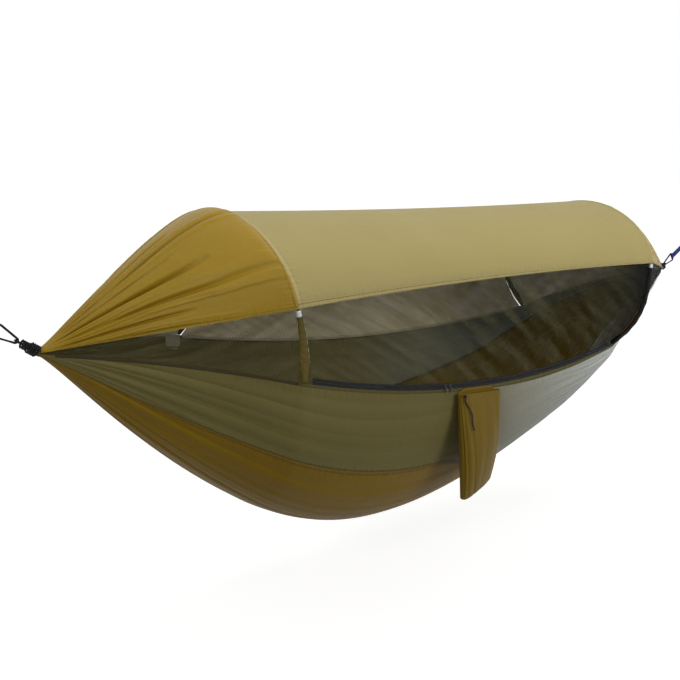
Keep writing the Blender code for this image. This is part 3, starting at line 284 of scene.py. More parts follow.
def nylon(name, base, shade, roughness=0.55, gloss=0.12, right=None, flat=None, ends=0, sides=0,
          fold="8A7A40"):
    """Ripstop nylon: a close plain weave with a heavier thread every few millimetres, dyed,
    and calendered on one side, so that it has a soft gloss and creases catch the light.
    flat is its cut size, and ends and sides are the widths of its sewn folds."""
    made, tree, shader = new_material(name)
    place = add_node(tree, "ShaderNodeUVMap", uv_map="cloth").outputs["UV"]
    here = add_node(tree, "ShaderNodeTexCoord").outputs["Object"]
    patch = add_node(tree, "ShaderNodeTexNoise", {"Vector": here, "Scale": 5.0, "Detail": 4.0})
    tints = [(patch.outputs["Fac"], shade)]
    if right:
        # Painted light: the cloth is drawn lighter and greyer towards its right end, over 1.2 m,
        # where the lamps light it more
        along = add_node(tree, "ShaderNodeSeparateXYZ", {0: here})
        painted_right_light = add_node(tree, "ShaderNodeMapRange", {"Value": along.outputs["X"], "From Min": 1.15,
                                                      "From Max": 2.35})
        tints.append((painted_right_light.outputs[0], right))
    # A ripstop thread every 3.8 mm each way: a wave's bands lie 0.314 / Scale apart
    warp, weft = [add_node(tree, "ShaderNodeTexWave", {"Vector": place, "Scale": 1 / 0.012},
                           bands_direction=way, wave_profile="SIN").outputs["Fac"] for way in "XY"]
    grid = add_node(tree, "ShaderNodeMath", {0: warp, 1: weft}, operation="MAXIMUM")
    ribs = add_node(tree, "ShaderNodeMapRange", {"Value": grid.outputs[0], "From Min": 0.93,
                                                 "From Max": 1.0, "To Max": 0.00012})
    crease = add_node(tree, "ShaderNodeTexNoise", {"Vector": here, "Scale": 26.0, "Detail": 5.0,
                                                   "Roughness": 0.6})
    lifts = [(crease.outputs["Fac"], 0.0020)]
    cut = add_node(tree, "ShaderNodeSeparateXYZ", {0: place})
    stitch_line, stitch_half, stitch_pitch = 0.0022, 0.0006, 0.0036
    for way, other, size, width in (("X", "Y", 0, ends), ("Y", "X", 1, sides)):
        if width:
            # The fold lies double, is stitched near its inner edge, and puckers the cloth
            inward = add_node(tree, "ShaderNodeMath", {0: cut.outputs[way], 1: flat[size] / 2},
                              operation="PINGPONG")
            doubled = add_node(tree, "ShaderNodeMath", {0: inward.outputs[0], 1: width},
                               operation="LESS_THAN")
            line = add_node(tree, "ShaderNodeMath", {
                0: inward.outputs[0], 1: width - stitch_line, 2: stitch_half}, operation="COMPARE")
            dash = add_node(tree, "ShaderNodeMath", {0: cut.outputs[other], 1: stitch_pitch / 2},
                            operation="PINGPONG")
            shown = add_node(tree, "ShaderNodeMath", {0: dash.outputs[0], 1: stitch_half},
                             operation="GREATER_THAN")
            stitch = add_node(tree, "ShaderNodeMath", {0: line.outputs[0], 1: shown.outputs[0]},
                              operation="MULTIPLY")
            puckers = add_node(tree, "ShaderNodeMapping", {
                "Vector": place, "Scale": (12, 90, 1) if way == "X" else (90, 12, 1)})
            pucker = add_node(tree, "ShaderNodeTexNoise", {"Vector": puckers.outputs[0], "Scale": 1.0,
                                                           "Detail": 2.0})
            near = add_node(tree, "ShaderNodeMapRange", {"Value": inward.outputs[0], "To Min": 0.0050,
                                                         "To Max": 0.0, "From Max": 0.035 + width})
            tints += [(doubled.outputs[0], fold), (stitch.outputs[0], "2A2412")]
            lifts += [(pucker.outputs["Fac"], near.outputs[0]), (doubled.outputs[0], 0.0004),
                      (stitch.outputs[0], -0.0004)]
    colour, height = linear(base), ribs.outputs[0]
    for share, tint in tints:
        colour = add_node(tree, "ShaderNodeMix", {0: share, 6: colour, 7: linear(tint)},
                          data_type="RGBA").outputs[2]
    for share, lift in lifts:
        height = add_node(tree, "ShaderNodeMath", {0: share, 1: lift, 2: height},
                          operation="MULTIPLY_ADD").outputs[0]
    bump = add_node(tree, "ShaderNodeBump", {"Height": height, "Strength": 1.0, "Distance": 1.0})
    set_inputs(tree, shader, {"Base Color": colour, "Normal": bump.outputs["Normal"],
                              "Roughness": roughness, "Specular IOR Level": gloss, "IOR": 1.53})
    return made


def girth_folds(angles, counts, seed, sharp=0.8):
    """Folds across a gathered cloth: a sum of creased waves with set random places."""
    chance = np.random.default_rng(seed)
    total = 0
    for count in counts:
        phase = chance.uniform(0, math.pi)
        total = total + (1 - 2 * np.abs(np.sin(count * angles / 2 + phase)) ** sharp) / len(counts)
    return total


def edge_fade(angles):
    """1 over a section of cloth, falling to 0 at both of its edges."""
    return np.minimum(1, np.minimum(angles + math.pi / 2, math.pi / 2 - angles) / 0.12)


def folded_bed(stations, angles):
    """The bed's surface with its folds: shallow ones along it, and fine ones near the right foot."""
    surface = bed_surface(stations, angles)
    to_end = (half_span - np.abs(stations))[:, None]
    depth = 0.0055 * smooth_step(to_end / 0.22) * (0.25 + 0.75 * np.exp(-to_end / 0.35))
    fold = girth_folds(angles + 0.10 * np.sin(stations[:, None] * 3), (23, 37, 61), 5)
    # The near side is slack towards the right foot, where its edge is drawn up, and wrinkles finely
    slack = 0.0030 * smooth_step((stations - 0.10) / 0.5)[:, None] * smooth_step(to_end / 0.14)
    wrinkle = girth_folds(angles + 0.05 * np.sin(stations[:, None] * 7), (67, 89, 107), 8, sharp=0.6)
    lift = (depth * fold + slack * wrinkle) * edge_fade(angles)
    return surface + normals(surface) * lift[..., None]


def dress(piece, finish, body, node=None):
    """Gives a piece its material, hides the CAD node it stands for, and puts it on its body."""
    piece.data.materials.append(finish)
    if node:
        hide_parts(node)
    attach(piece, body)


bed_length = 2.70
bed_steps = np.linspace(-1, 1, 241)
bed_stations = half_span * (1.5 * bed_steps - 0.5 * bed_steps ** 3)
front_seam = np.radians(-60) + np.radians(36) * smooth_step((bed_stations + 0.20) / 0.44)
back_seam = np.full_like(bed_stations, np.radians(60))
near_rim = np.full_like(bed_stations, -math.pi / 2)
# The front and back panels are drawn lighter and greyer towards their right end: painted light where the
# lamps fall brighter on that end
for name, low, high, columns, width, area, slot, cloth, tints, right, fold in (
        ("bed_front", near_rim, front_seam, 130, 0.33, 0.76, "grey_nylon",
         "grey ripstop nylon of the front", ("6A6238", "5F5730"), "DCE2E2", "4E4722"),
        ("bed_centre", front_seam, back_seam, 150, 0.70, 1.80, "gold_nylon",
         "mustard ripstop nylon", ("80650C", "725707"), None, "6A5208"),
        ("bed_back", back_seam, -near_rim, 60, 0.22, 0.53, "grey_nylon",
         "grey ripstop nylon of the back", ("7A7140", "6E6538"), "93A3AA", "4E4722")):
    angles = low[:, None] + (high - low)[:, None] * np.linspace(0, 1, columns)
    panel = cloth_sheet(name, with_necks(folded_bed(bed_stations, angles)), (bed_length, width))
    finish = nylon(cloth, *tints, right=right, flat=(bed_length, width), sides=0.010, fold=fold)
    dress(panel, finish, "hammock", f"{name}_panel")

# Hoops: two jointed glass-fibre poles, each bent over the bed by the roof sewn round it.
# The scene needs their lines for the cloth and the legs that follow them.
shoulder_half_width, shoulder_height, apex_reach = 0.33, 0.105, 0.75
SHOULDER_REACH = {"left": 0.71, "right": 0.70}
APEX_HEIGHT = {"left": 0.315, "right": 0.290}
ARCH_POWER = {"left": 1, "right": 1.45}
LEG_BULGE = {"left": 0, "right": 0.080}
pole_radius, clearance, cloth_thickness = 0.004, 0.0003, 0.0006
cloth_lift = (pole_radius + clearance + cloth_thickness) * 1.2


def arch_point(side, angles, grow=0.0):
    """Points of the hoop's arch; grow moves them outwards, for cloth that lies over the pole."""
    reach = SHOULDER_REACH[side]
    swell = np.abs(np.cos(angles))
    x = SIGN[side] * (reach + (apex_reach - reach) * swell)
    y = (shoulder_half_width + grow) * np.sin(angles)
    z = shoulder_height + (APEX_HEIGHT[side] - shoulder_height + grow) * swell ** ARCH_POWER[side]
    return np.stack(np.broadcast_arrays(x, y, z), axis=-1)


# Roof: one khaki panel of proofed nylon, taut between the hoops, with a narrow turned hem
# along each side and a sewn tunnel for the pole at each end.
roof_flat = (1.46, 0.86)
tunnel_share = 0.022 / roof_flat[0]
roof_nylon = nylon("khaki proofed nylon", "A29562", "9A8C57", flat=roof_flat, ends=0.015, sides=0.010,
                   fold="A89A66")
roof_angles = np.linspace(-math.pi / 2, math.pi / 2, 161)
tunnel_rows = np.linspace(0, tunnel_share, 16)
roof_shares = np.concatenate([tunnel_rows, np.linspace(tunnel_share, 1 - tunnel_share, 100)[1:-1],
                              1 - tunnel_rows[::-1]])[:, None]


def roof_surface(shares, angles):
    left, right = [arch_point(end, angles, cloth_lift) for end in ("left", "right")]
    points = mix(left, right, shares[..., None])
    bow = 4 * shares * (1 - shares)
    points[..., 2] += bow * (0.016 * np.sin(angles) ** 2 - 0.010 * np.cos(angles) ** 2)
    return points


roof_points = middle + roof_surface(roof_shares, roof_angles[None, :])
# The tunnel stands proud of the roof round its pole, between two lines of stitches
to_hoop = np.minimum(roof_shares, 1 - roof_shares) * roof_flat[0]
tunnel = 0.0016 * np.sin(math.pi * np.clip(to_hoop / 0.0135, 0, 1))
roof_points = roof_points + np.abs(normals(roof_points)) * [0, 0, 1] * tunnel[..., None]
roof = cloth_sheet("roof", roof_points, roof_flat)
dress(roof, roof_nylon, "hammock", "roof_panel")
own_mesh(roof)

# End caps: mustard nylon gathered in pleats round each neck, and sewn to the roof's tunnel.
# The pleats are sharp furrows at the gather and die out towards the hoop.
cap_flat = (0.62, 0.95)
# The right cap is drawn lighter than the left one: painted light on the better lit end
cap_nylon = nylon("mustard pleated nylon", "9E8020", "8E7115", roughness=0.45, gloss=0.2, right="A68E3C",
                  flat=cap_flat, ends=0.010, sides=0.009, fold="957920")
CAP_CROWN = {"left": 0.175, "right": 0.010}
cap_edge_lift, pleat_count = 0.0016, 12
cap_angles = np.linspace(-math.pi / 2, math.pi / 2, 24 * pleat_count + 1)
cap_steps = np.linspace(0, 1, 110)
cap_shares = 0.35 * cap_steps + 0.65 * cap_steps ** 2


def cap_edge(side, shares, angles):
    """Points of the cap without its crown and pleats: share 0 at the gather, 1 at the hoop."""
    gather = np.stack(np.broadcast_arrays(SIGN[side] * half_span, neck_radius * np.sin(angles),
                                          neck_radius * np.cos(angles) + cap_edge_lift), axis=-1)
    return mix(gather, arch_point(side, angles, cloth_lift), shares[..., None])


for side in ("left", "right"):
    shares, angles = np.broadcast_arrays(cap_shares[:, None], cap_angles[None, :])
    surface = cap_edge(side, shares, angles)
    surface[..., 2] += CAP_CROWN[side] * shares ** 1.6 * (1 - shares) ** 0.6 * np.cos(angles)
    girth = np.hypot(surface[..., 1], surface[..., 2] - cap_edge_lift)
    wander = 0.16 * np.sin(angles * 5 + 1.3) + 0.10 * np.sin(shares * 7 + angles * 3)
    count = (angles + math.pi / 2) / math.pi * pleat_count + wander
    number = np.round(count)
    strength = 0.75 + 0.35 * np.sin(number * 2.4 + 0.7)
    reach = np.clip(1 - shares / (0.80 + 0.22 * np.sin(number * 4.1)), 0, 1)
    pleat = (0.55 - 2.8 * strength * np.exp(-((count - number) / 0.115) ** 2)) * reach ** 0.7
    pleat += 0.40 * np.sin(2 * math.pi * (3 * count + 0.4 * np.sin(shares * 9))) * reach ** 2
    depth = 0.078 * girth * smooth_step(shares / 0.16) * edge_fade(angles)
    outward = np.stack([0 * angles, np.sin(angles), np.cos(angles)], axis=-1)
    surface = middle + surface + outward * (depth * pleat)[..., None]
    surface[0], tip = neck_rows(surface[0], side)
    surface = np.concatenate([tip[None], surface])
    cap = cloth_sheet(f"{side}_cap", surface if side == "right" else surface[:, ::-1], cap_flat)
    dress(cap, cap_nylon, "hammock", f"{side}_end_cap")
    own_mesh(cap)

# Legs: each hoop's glass-fibre leg in a woven nylon sleeve, from the shoulder to the foot
# pocket on the bed's rim. The sleeve is a flat tube with a sewn edge, loose on its pole.
pivot_lift = 0.0088 * 1.04


def leg_curve(hoop, edge, shares):
    """Points of the leg's middle line: share 0 at the shoulder, 1 at the foot."""
    top = arch_point(hoop, SIGN[edge] * math.pi / 2)
    foot = FEET[hoop, edge] + np.array([0, 0, pivot_lift])
    above = arch_point(hoop, SIGN[edge] * (math.pi / 2 - 0.05))
    bend = top - unit(above - top) * np.linalg.norm(top - foot) * 0.60
    bulge = np.array([LEG_BULGE[hoop], SIGN[edge] * LEG_BULGE[hoop] / 2, 0])
    upper, lower = (top + 2 * bend) / 3 + bulge / 3, (foot + 2 * bend) / 3 + bulge
    shares = np.asarray(shares, float)[..., None]
    rest = 1 - shares
    return (rest ** 3 * top + 3 * rest ** 2 * shares * upper + 3 * rest * shares ** 2 * lower
            + shares ** 3 * foot)


def run_along(points):
    """Distances of a line's points from its start."""
    return np.concatenate([[0], np.linalg.norm(np.diff(points, axis=0), axis=1).cumsum()])


def points_at(wanted, run, points):
    return np.stack([np.interp(wanted, run, values) for values in points.T], axis=-1)


def line_axes(points, hint):
    along = unit(np.gradient(points, axis=0))
    across = unit(hint - along * (along @ hint)[:, None])
    return along, across, np.cross(along, across)


def leg_length(hoop, edge):
    return run_along(leg_curve(hoop, edge, np.linspace(0, 1, 60)))[-1]


def leg_part(hoop, edge, start, stop, count):
    """Points of the leg between two distances from its shoulder, with their three axes."""
    fine = leg_curve(hoop, edge, np.linspace(0, 1, 200))
    points = points_at(np.linspace(start, stop, count), run_along(fine), fine)
    return points, *line_axes(points, np.array([1.0, 0, 0]))


def tube_rings(points, across, normal, wide, thick, turns):
    """Rings of points round a line, with their half widths along two of its axes."""
    return (points[:, None] + across[:, None] * (wide * np.cos(turns))[..., None]
            + normal[:, None] * (thick * np.sin(turns))[..., None])


def skin(name, rings, ends=(True, True), ring_loop=False):
    """A skin over rings of points, given as an array of rings, points and places."""
    count, sides = rings.shape[:2]
    index = np.arange(count * sides).reshape(count, sides)
    below = index if ring_loop else index[:-1]
    above = np.roll(index, -1, axis=0) if ring_loop else index[1:]
    faces = np.stack([below, np.roll(below, -1, axis=1), np.roll(above, -1, axis=1), above],
                     axis=-1).reshape(-1, 4).tolist()
    if not ring_loop:
        faces += [index[row].tolist() for row, closed in ((0, ends[0]), (-1, ends[1])) if closed]
    mesh = bpy.data.meshes.new(name)
    mesh.from_pydata(rings.reshape(-1, 3).tolist(), [], faces)
    shape = bmesh.new()
    shape.from_mesh(mesh)
    bmesh.ops.recalc_face_normals(shape, faces=shape.faces)
    shape.to_mesh(mesh)
    shape.free()
    cloth_map = mesh.uv_layers.new(name="cloth")
    run = run_along(rings.mean(axis=1))
    girth = np.linalg.norm(np.roll(rings, -1, axis=1) - rings, axis=2).sum(axis=1).max()
    corners = np.zeros(len(mesh.loops), int)
    mesh.loops.foreach_get("vertex_index", corners)
    place = np.stack([run[corners // sides], girth * (corners % sides) / sides], axis=-1)
    cloth_map.data.foreach_set("uv", place.ravel())
    mesh.shade_smooth()
    mesh.set_sharp_from_angle(angle=math.radians(50))
    piece = bpy.data.objects.new(name, mesh)
    bpy.context.scene.collection.objects.link(piece)
    return piece


# The near left sleeve shows its olive cloth. The other sleeves and their foot pockets are the same cloth
# drawn near black: painted shade where they stand in the shade
sleeve_cloth = {"olive": nylon("olive sleeve nylon", "5C4F1E", "463C16"),
                "dark": nylon("dark sleeve nylon", "14120C", "0C0B07", gloss=0.07)}
round_turns = np.linspace(0, 2 * math.pi, 36, endpoint=False)
pocket_length, ring_end, ring_radius = 0.045, 0.0248, 0.0082
sleeve_top, sleeve_flare = 0.008, 0.0065
for hoop, edge in FEET:
    length = leg_length(hoop, edge)
    # Every sleeve but the near left one is drawn in painted shade
    sleeve_lighting = "olive" if (hoop, edge) == ("left", "near") else "dark"
    points, _, across, normal = leg_part(hoop, edge, ring_end, length - pocket_length - 0.0006, 60)
    share = np.linspace(0, 1, 60)[:, None]
    rumple = 1 + 0.05 * np.sin(share * 40 + round_turns * 2) + 0.04 * np.sin(share * 23 - round_turns * 3)
    half_width = (sleeve_top + sleeve_flare * share) * rumple
    half_depth = (0.0085 if (hoop, edge) == ("right", "near") else 0.0056) * rumple
    inner_radius = pole_radius + clearance
    outer = tube_rings(points, across, normal, half_width, half_depth, round_turns)
    inner = tube_rings(points, across, normal, inner_radius, inner_radius, round_turns)
    sleeve = skin(f"{hoop}_{edge}_sleeve", middle + np.concatenate([outer, inner[::-1]]), ring_loop=True)
    dress(sleeve, sleeve_cloth[sleeve_lighting], f"{hoop}_hoop", f"{hoop}_{edge}_leg_sleeve")

# Nets: fine polyester mesh, black at the door and sand-coloured behind, sewn between the
# roof's hems and the bed's rims. It is knitted soft, so it hangs in slanting drags. The far net is
# drawn near white, painted daylight shining through it from behind.
def netting(name, dark, light, cover, spread, drag_angle, bunch_and_shade=None):
    """Knitted mesh: holes of about 1 mm, drawn at 3 mm so that they show, in a cloth that
    looks denser where its folds turn away from the eye, and whose denser drags are drawn lighter
    as painted sheen. The bunch range is where it lies in many layers in the shade of the dark end
    inside, drawn denser and near black, partly painted shade: from and to distances along it,
    in metres."""
    made, tree, shader = new_material(name)
    place = add_node(tree, "ShaderNodeUVMap", uv_map="cloth").outputs["UV"]
    # Drags are about 300 mm long and 40 mm apart
    drags = add_node(tree, "ShaderNodeMapping", {"Vector": place, "Rotation": (0, 0, drag_angle),
                                                 "Scale": (0.30, 0.040, 1)}, vector_type="TEXTURE")
    drag_and_sheen = add_node(tree, "ShaderNodeTexNoise", {"Vector": drags.outputs[0], "Scale": 1.0, "Detail": 3.0})
    # The denser drags are drawn in the lighter colour: painted sheen where the folds catch the light
    colour = add_node(tree, "ShaderNodeMix", {0: drag_and_sheen.outputs["Fac"], 6: linear(dark), 7: linear(light)},
                      data_type="RGBA").outputs[2]
    holes = add_node(tree, "ShaderNodeTexVoronoi", {"Vector": place, "Scale": 333.0, "Randomness": 0.15},
                     voronoi_dimensions="2D")
    thread = add_node(tree, "ShaderNodeMapRange", {"Value": holes.outputs["Distance"], "From Min": 0.2,
                                                   "From Max": 0.6, "To Min": -0.15, "To Max": 0.15})
    dense = add_node(tree, "ShaderNodeMapRange", {"Value": drag_and_sheen.outputs["Fac"], "From Min": 0.35,
                                                  "From Max": 0.65, "To Min": cover - spread,
                                                  "To Max": cover + spread})
    alpha = add_node(tree, "ShaderNodeMath", {0: dense.outputs[0], 1: thread.outputs[0]}, operation="ADD",
                     use_clamp=True).outputs[0]
    # Where it lies bunched in many layers at the door's right end, deep in shade, it is drawn denser and
    # near black: partly the layers of net, partly painted shade
    if bunch_and_shade:
        cut = add_node(tree, "ShaderNodeSeparateXYZ", {0: place})
        slant = add_node(tree, "ShaderNodeMath", {0: cut.outputs["Y"], 1: -0.35, 2: cut.outputs["X"]},
                         operation="MULTIPLY_ADD")
        layers_and_shade = add_node(tree, "ShaderNodeMapRange", {"Value": slant.outputs[0], "From Min": bunch_and_shade[0],
                                                       "From Max": bunch_and_shade[1]}).outputs[0]
        alpha = add_node(tree, "ShaderNodeMath", {0: layers_and_shade, 1: 0.75, 2: alpha}, operation="MULTIPLY_ADD",
                         use_clamp=True).outputs[0]
        colour = add_node(tree, "ShaderNodeMix", {0: layers_and_shade, 6: colour, 7: linear("0A0A07")},
                          data_type="RGBA").outputs[2]
    set_inputs(tree, shader, {"Base Color": colour, "Alpha": alpha, "Roughness": 0.8,
                              "Specular IOR Level": 0.12})
    return made


def leg_line(hoop, edge, outward, bottom, count):
    """The line where a net meets a leg, down to where it reaches the line below it."""
    length, start, fine = leg_length(hoop, edge), 0.0015, 240
    points, _, across, _ = leg_part(hoop, edge, start, length, fine)
    run = np.linspace(start, length, fine)
    sleeve_share = np.clip((run - ring_end) / (length - pocket_length - ring_end), 0, 1)
    clear = np.maximum(ring_radius, sleeve_top + sleeve_flare * sleeve_share)
    clear = clear - 0.0060 * smooth_step((run - length + pocket_length) / pocket_length)
    line = points + across * (clear + 0.0012)[:, None] * outward
    stop = np.argmax(line[:, 2] < bottom(line[:, 0])[:, 2])
    line = line[np.linspace(0, stop or fine - 1, count).astype(int)]
    to_bottom = bottom(line[-1:, 0])[0] - line[-1]
    return line + to_bottom * np.linspace(0, 1, count)[:, None] ** 4


def drag_waves(u, v, seed):
    """Slanting drags of slack netting, in metres off its plane."""
    chance = np.random.default_rng(seed)
    total = 0
    for _ in range(7):
        slope, pitch = chance.uniform(-2.0, -0.9), chance.uniform(0.05, 0.16)
        total = total + np.sin(2 * math.pi * (u + slope * v) / pitch + chance.uniform(0, 6)) * pitch * 0.018
    return total


def net_sheet(name, top, bottom, left_side, right_side, flat, seed):
    """A net between its top and bottom lines, drawn to the legs at its sides."""
    u, v = np.linspace(0, 1, len(top))[:, None], np.linspace(0, 1, len(left_side))[None, :]
    points = mix(top[:, None], bottom[:, None], v[..., None])
    for side, place, weight in ((left_side, 0, u), (right_side, -1, 1 - u)):
        if side is not None:
            pull = side - points[place]
            points = points + pull[None] * (1 - smooth_step(weight / 0.22))[..., None]
    edge = np.minimum(np.minimum(u, 1 - u) * 12, np.minimum(v, 1 - v) * 5)
    wave = drag_waves(u * flat[0], v * flat[1], seed) * np.clip(edge, 0, 1)
    points = points + normals(points) * wave[..., None]
    return cloth_sheet(name, middle + points, flat, thickness=0.0003)


hem_gap, rim_gap = 0.0016, 0.0008
tape_width, zip_slit = 0.0075, 0.0014
zip_centre, zip_radius, zip_first, zip_second, zip_normal, zip_angle = RIM_ARC["near"]
lower_edge = zip_radius - rim_gap
lower_bead = lower_edge - tape_width
upper_bead = lower_bead - zip_slit
upper_edge = upper_bead - tape_width


def hem_line(stations, edge):
    angle = np.array(SIGN[edge] * math.pi / 2)
    left, right = arch_point("left", angle, cloth_lift), arch_point("right", angle, cloth_lift)
    shares = (stations - left[0]) / (right[0] - left[0])
    return roof_surface(shares, np.full_like(shares, angle)) - np.array([0, 0, hem_gap])


def cap_hem(hoop, stations, edge):
    shares = (SIGN[hoop] * half_span - stations) / (SIGN[hoop] * (half_span - SHOULDER_REACH[hoop]))
    hem = cap_edge(hoop, shares, np.full_like(shares, SIGN[edge] * math.pi / 2))
    return hem - np.array([0, 0, hem_gap])


def above_rim(edge):
    return lambda stations: rim(np.asarray(stations), edge) + np.array([0, 0, rim_gap])


def above_zip(stations):
    points = rim(np.asarray(stations), "near")
    return points + unit(zip_centre - points) * (zip_radius - upper_edge + 0.0013)


def hang_net(piece, node, cloth):
    dress(piece, net_cloth[cloth], "hammock", node)
    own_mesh(piece)


net_cloth = {"near": netting("door netting", "24231A", "6A6648", 0.21, 0.15, 0.62, bunch_and_shade=(1.08, 1.32)),
             # The far net's near-white colour is painted light: daylight shining through it from behind
             "far": netting("sand netting", "FFF2C8", "DDCB96", 0.88, 0.05, -0.6),
             # Net in layers at the dark right end, drawn near black: partly painted shade
             "bunched": netting("bunched door netting", "0A0907", "1A1811", 0.86, 0.12, 0.9)}
for edge, name in (("near", "front"), ("far", "back")):
    lower = above_zip if edge == "near" else above_rim("far")
    left_side, right_side = leg_line("left", edge, 1, lower, 50), leg_line("right", edge, -1, lower, 50)
    steps = np.linspace(0, 1, 180)
    top = hem_line(mix(left_side[0, 0], right_side[0, 0], steps), edge)
    bottom = lower(mix(left_side[-1, 0], right_side[-1, 0], steps))
    net = net_sheet(f"{name}_net_sheet", top, bottom, left_side, right_side, (1.38, 0.32), 3)
    hang_net(net, f"{name}_net", edge)
    for end in ("left", "right"):
        side = leg_line(end, edge, SIGN[end], above_rim(edge), 36)
        tip = SIGN[end] * (half_span - 0.022)
        steps = np.linspace(0, 1, 70) ** 0.9
        top = cap_hem(end, mix(side[0, 0], tip, steps), edge)
        bottom = above_rim(edge)(mix(side[-1, 0], tip, steps))
        # A wedge lies down on the rim below it when the hoop folds
        wedge = net_sheet(f"{name}_{end}_wedge", top, bottom, side, None, (0.52, 0.20), 4)
        # The front right wedge is drawn in the bunched netting, near black: partly painted shade
        hang_net(wedge, f"{name}_net_{end}_wedge",
                 "bunched" if (name, end) == ("front", "right") else edge)

# Zip: two woven tapes with a moulded coil along their facing edges, sewn to the bed's rim
# and to the net, closed from both ends by two sliders.
zip_front = zip_normal if zip_normal[1] < 0 else -zip_normal
bead_width, bead_half, tape_half = 0.0016, 0.0011, 0.0004
zip_inset = 0.026 / zip_radius
zip_turns = np.linspace(zip_inset, zip_angle - zip_inset, 160)[:, None, None]
tape_cloth, tree, shader = new_material("navy zip tape")
place = add_node(tree, "ShaderNodeUVMap", uv_map="cloth")
# Coil turns every 1.3 mm; its crests are drawn lighter, a painted highlight
coil_and_highlight = add_node(tree, "ShaderNodeTexWave", {"Vector": place.outputs["UV"], "Scale": 1 / 0.004},
                bands_direction="X", wave_profile="SIN")
tint = add_node(tree, "ShaderNodeMix", {0: coil_and_highlight.outputs["Fac"], 6: linear("08090C"), 7: linear("151A22")},
                data_type="RGBA")
bump = add_node(tree, "ShaderNodeBump", {"Height": coil_and_highlight.outputs["Fac"], "Distance": 0.0006})
set_inputs(tree, shader, {"Base Color": tint.outputs[2], "Normal": bump.outputs["Normal"], "Roughness": 0.5,
                          "Specular IOR Level": 0.15})
for name, edge, bead in (("lower", lower_edge, lower_bead), ("upper", upper_edge, upper_bead)):
    inward = math.copysign(bead_width, edge - bead)
    half = [(edge, tape_half), (bead + inward, tape_half), (bead + inward * 0.8, bead_half),
            (bead + inward * 0.2, bead_half), (bead, bead_half * 0.5)]
    profile = np.array([(out, -off) for out, off in half] + half[::-1])
    down = np.cos(zip_turns) * zip_first + np.sin(zip_turns) * zip_second
    tape = skin(f"zip_tape_{name}",
                middle + zip_centre + down * profile[:, :1] + zip_front * profile[:, 1:])
    dress(tape, tape_cloth, "hammock", f"door_zip_tape_{name}")

# Pouch: a sack of the roof's thin nylon that the hammock packs into. It hangs from the zip's
# edge by its back wall, empty, with its mouth drawn up at the left by a cord.
pouch_width, pouch_height, pouch_drop, pouch_squareness = 0.172, 0.328, 0.012, 3.2
pouch_left, pouch_twist, tuck_from = -0.192, math.radians(9), 0.955
bag_depth = pouch_height - pouch_drop
pouch_sides = rim(np.array([pouch_left, pouch_left + pouch_width / 2, pouch_left + pouch_width]), "near")
pouch_top = pouch_sides[1]
pouch_along = unit(pouch_sides[2] - pouch_sides[0])
pouch_out = unit(np.cross(pouch_along, [0, 0, 1.0]))


def pouch_section(share):
    """Half width and thickness of the bag at a share of its depth."""
    return pouch_width / 2 - 0.016 * share ** 3, 0.022 + 0.022 * np.sin(math.pi * share * 0.93)


def on_pouch(aside, front, drops, half):
    """Points aside from the bag's middle, in front of its back wall and below its mouth."""
    low = 0.022 * drops / bag_depth * aside / half - pouch_drop - drops
    aside, front = np.asarray(aside)[..., None], np.asarray(0.0009 + front)[..., None]
    fall = np.stack([0 * low, 0 * low, low], axis=-1)
    return middle + pouch_top + pouch_along * aside + pouch_out * front + fall


def pouch_body(drops, turns):
    """Points of the bag's skin at depths below its mouth, on turns round it from its right."""
    share = drops / bag_depth
    half, thick = pouch_section(share)
    square = (np.abs(np.cos(turns)) ** pouch_squareness + np.abs(np.sin(turns)) ** pouch_squareness) ** (
        1 / pouch_squareness)
    x, y = half * np.cos(turns) / square, thick / 2 * np.sin(turns) / square
    twist = pouch_twist * smooth_step(share)
    x, y = x * np.cos(twist) + y * np.sin(twist), y * np.cos(twist) - x * np.sin(twist)
    return on_pouch(x, thick / 2 + y, drops, half)


bag_steps = np.concatenate([np.linspace(0, tuck_from, 110),
                            mix(tuck_from, 1, np.sin(np.linspace(0.1, math.pi / 2, 12)))])
bag_turns = np.linspace(0, 2 * math.pi, 160, endpoint=False) + 0.01
drops, turns = np.broadcast_arrays((bag_steps * bag_depth)[:, None], bag_turns[None, :])
skin_points = pouch_body(drops, turns)
shares = drops / bag_depth
tuck = np.clip((shares - tuck_from) / (1 - tuck_from), 0, 1)
axis_points = skin_points.mean(axis=1, keepdims=True)
skin_points = mix(skin_points, axis_points, (0.65 * (1 - np.sqrt(1 - tuck ** 2 * 0.999)))[..., None])
front_side = smooth_step(np.sin(turns) * 1.5)
crease = 0
for start, lean, wide in ((-0.80, 0.10, 0.045), (-0.62, 0.22, 0.05), (-0.93, 0.04, 0.03),
                          (-0.40, 0.05, 0.09), (0.1, -0.10, 0.12), (0.55, 0.12, 0.10)):
    across = np.cos(turns) - (start + lean * shares)
    crease = crease - np.exp(-(across / wide) ** 2) * (0.0048 if start < -0.5 else 0.0016)
ripple = 0.0008 * np.sin(np.cos(turns) * 70) * np.exp(-shares / 0.06)
swell = 0.003 * np.sin(math.pi * shares) * np.cos(np.cos(turns) * 2.2)
crease = crease * np.sin(math.pi * np.clip(shares * 0.9 + 0.1, 0, 1)) ** 0.5
lift = crease * front_side + ripple + swell * front_side
outward = normals(skin_points)
if ((skin_points - axis_points) * outward).sum() < 0:
    outward = -outward
skin_points = skin_points + outward * lift[..., None]
# The back wall reaches up to the zip's edge, above the mouth
back_rise = smooth_step((-np.sin(turns) - 0.55) / 0.35) * np.exp(-shares / 0.03)
skin_points[..., 2] += back_rise * (pouch_drop - 0.0006)
bag = skin("pouch_bag", skin_points, ends=(False, True))
wall = bag.modifiers.new("bag cloth", "SOLIDIFY")
wall.thickness = 0.0008
wall.offset = -1
dress(bag, nylon("golden pouch nylon", "6E5914", "604B0C", roughness=0.5, gloss=0.12),
      "pouch", "storage_pouch")

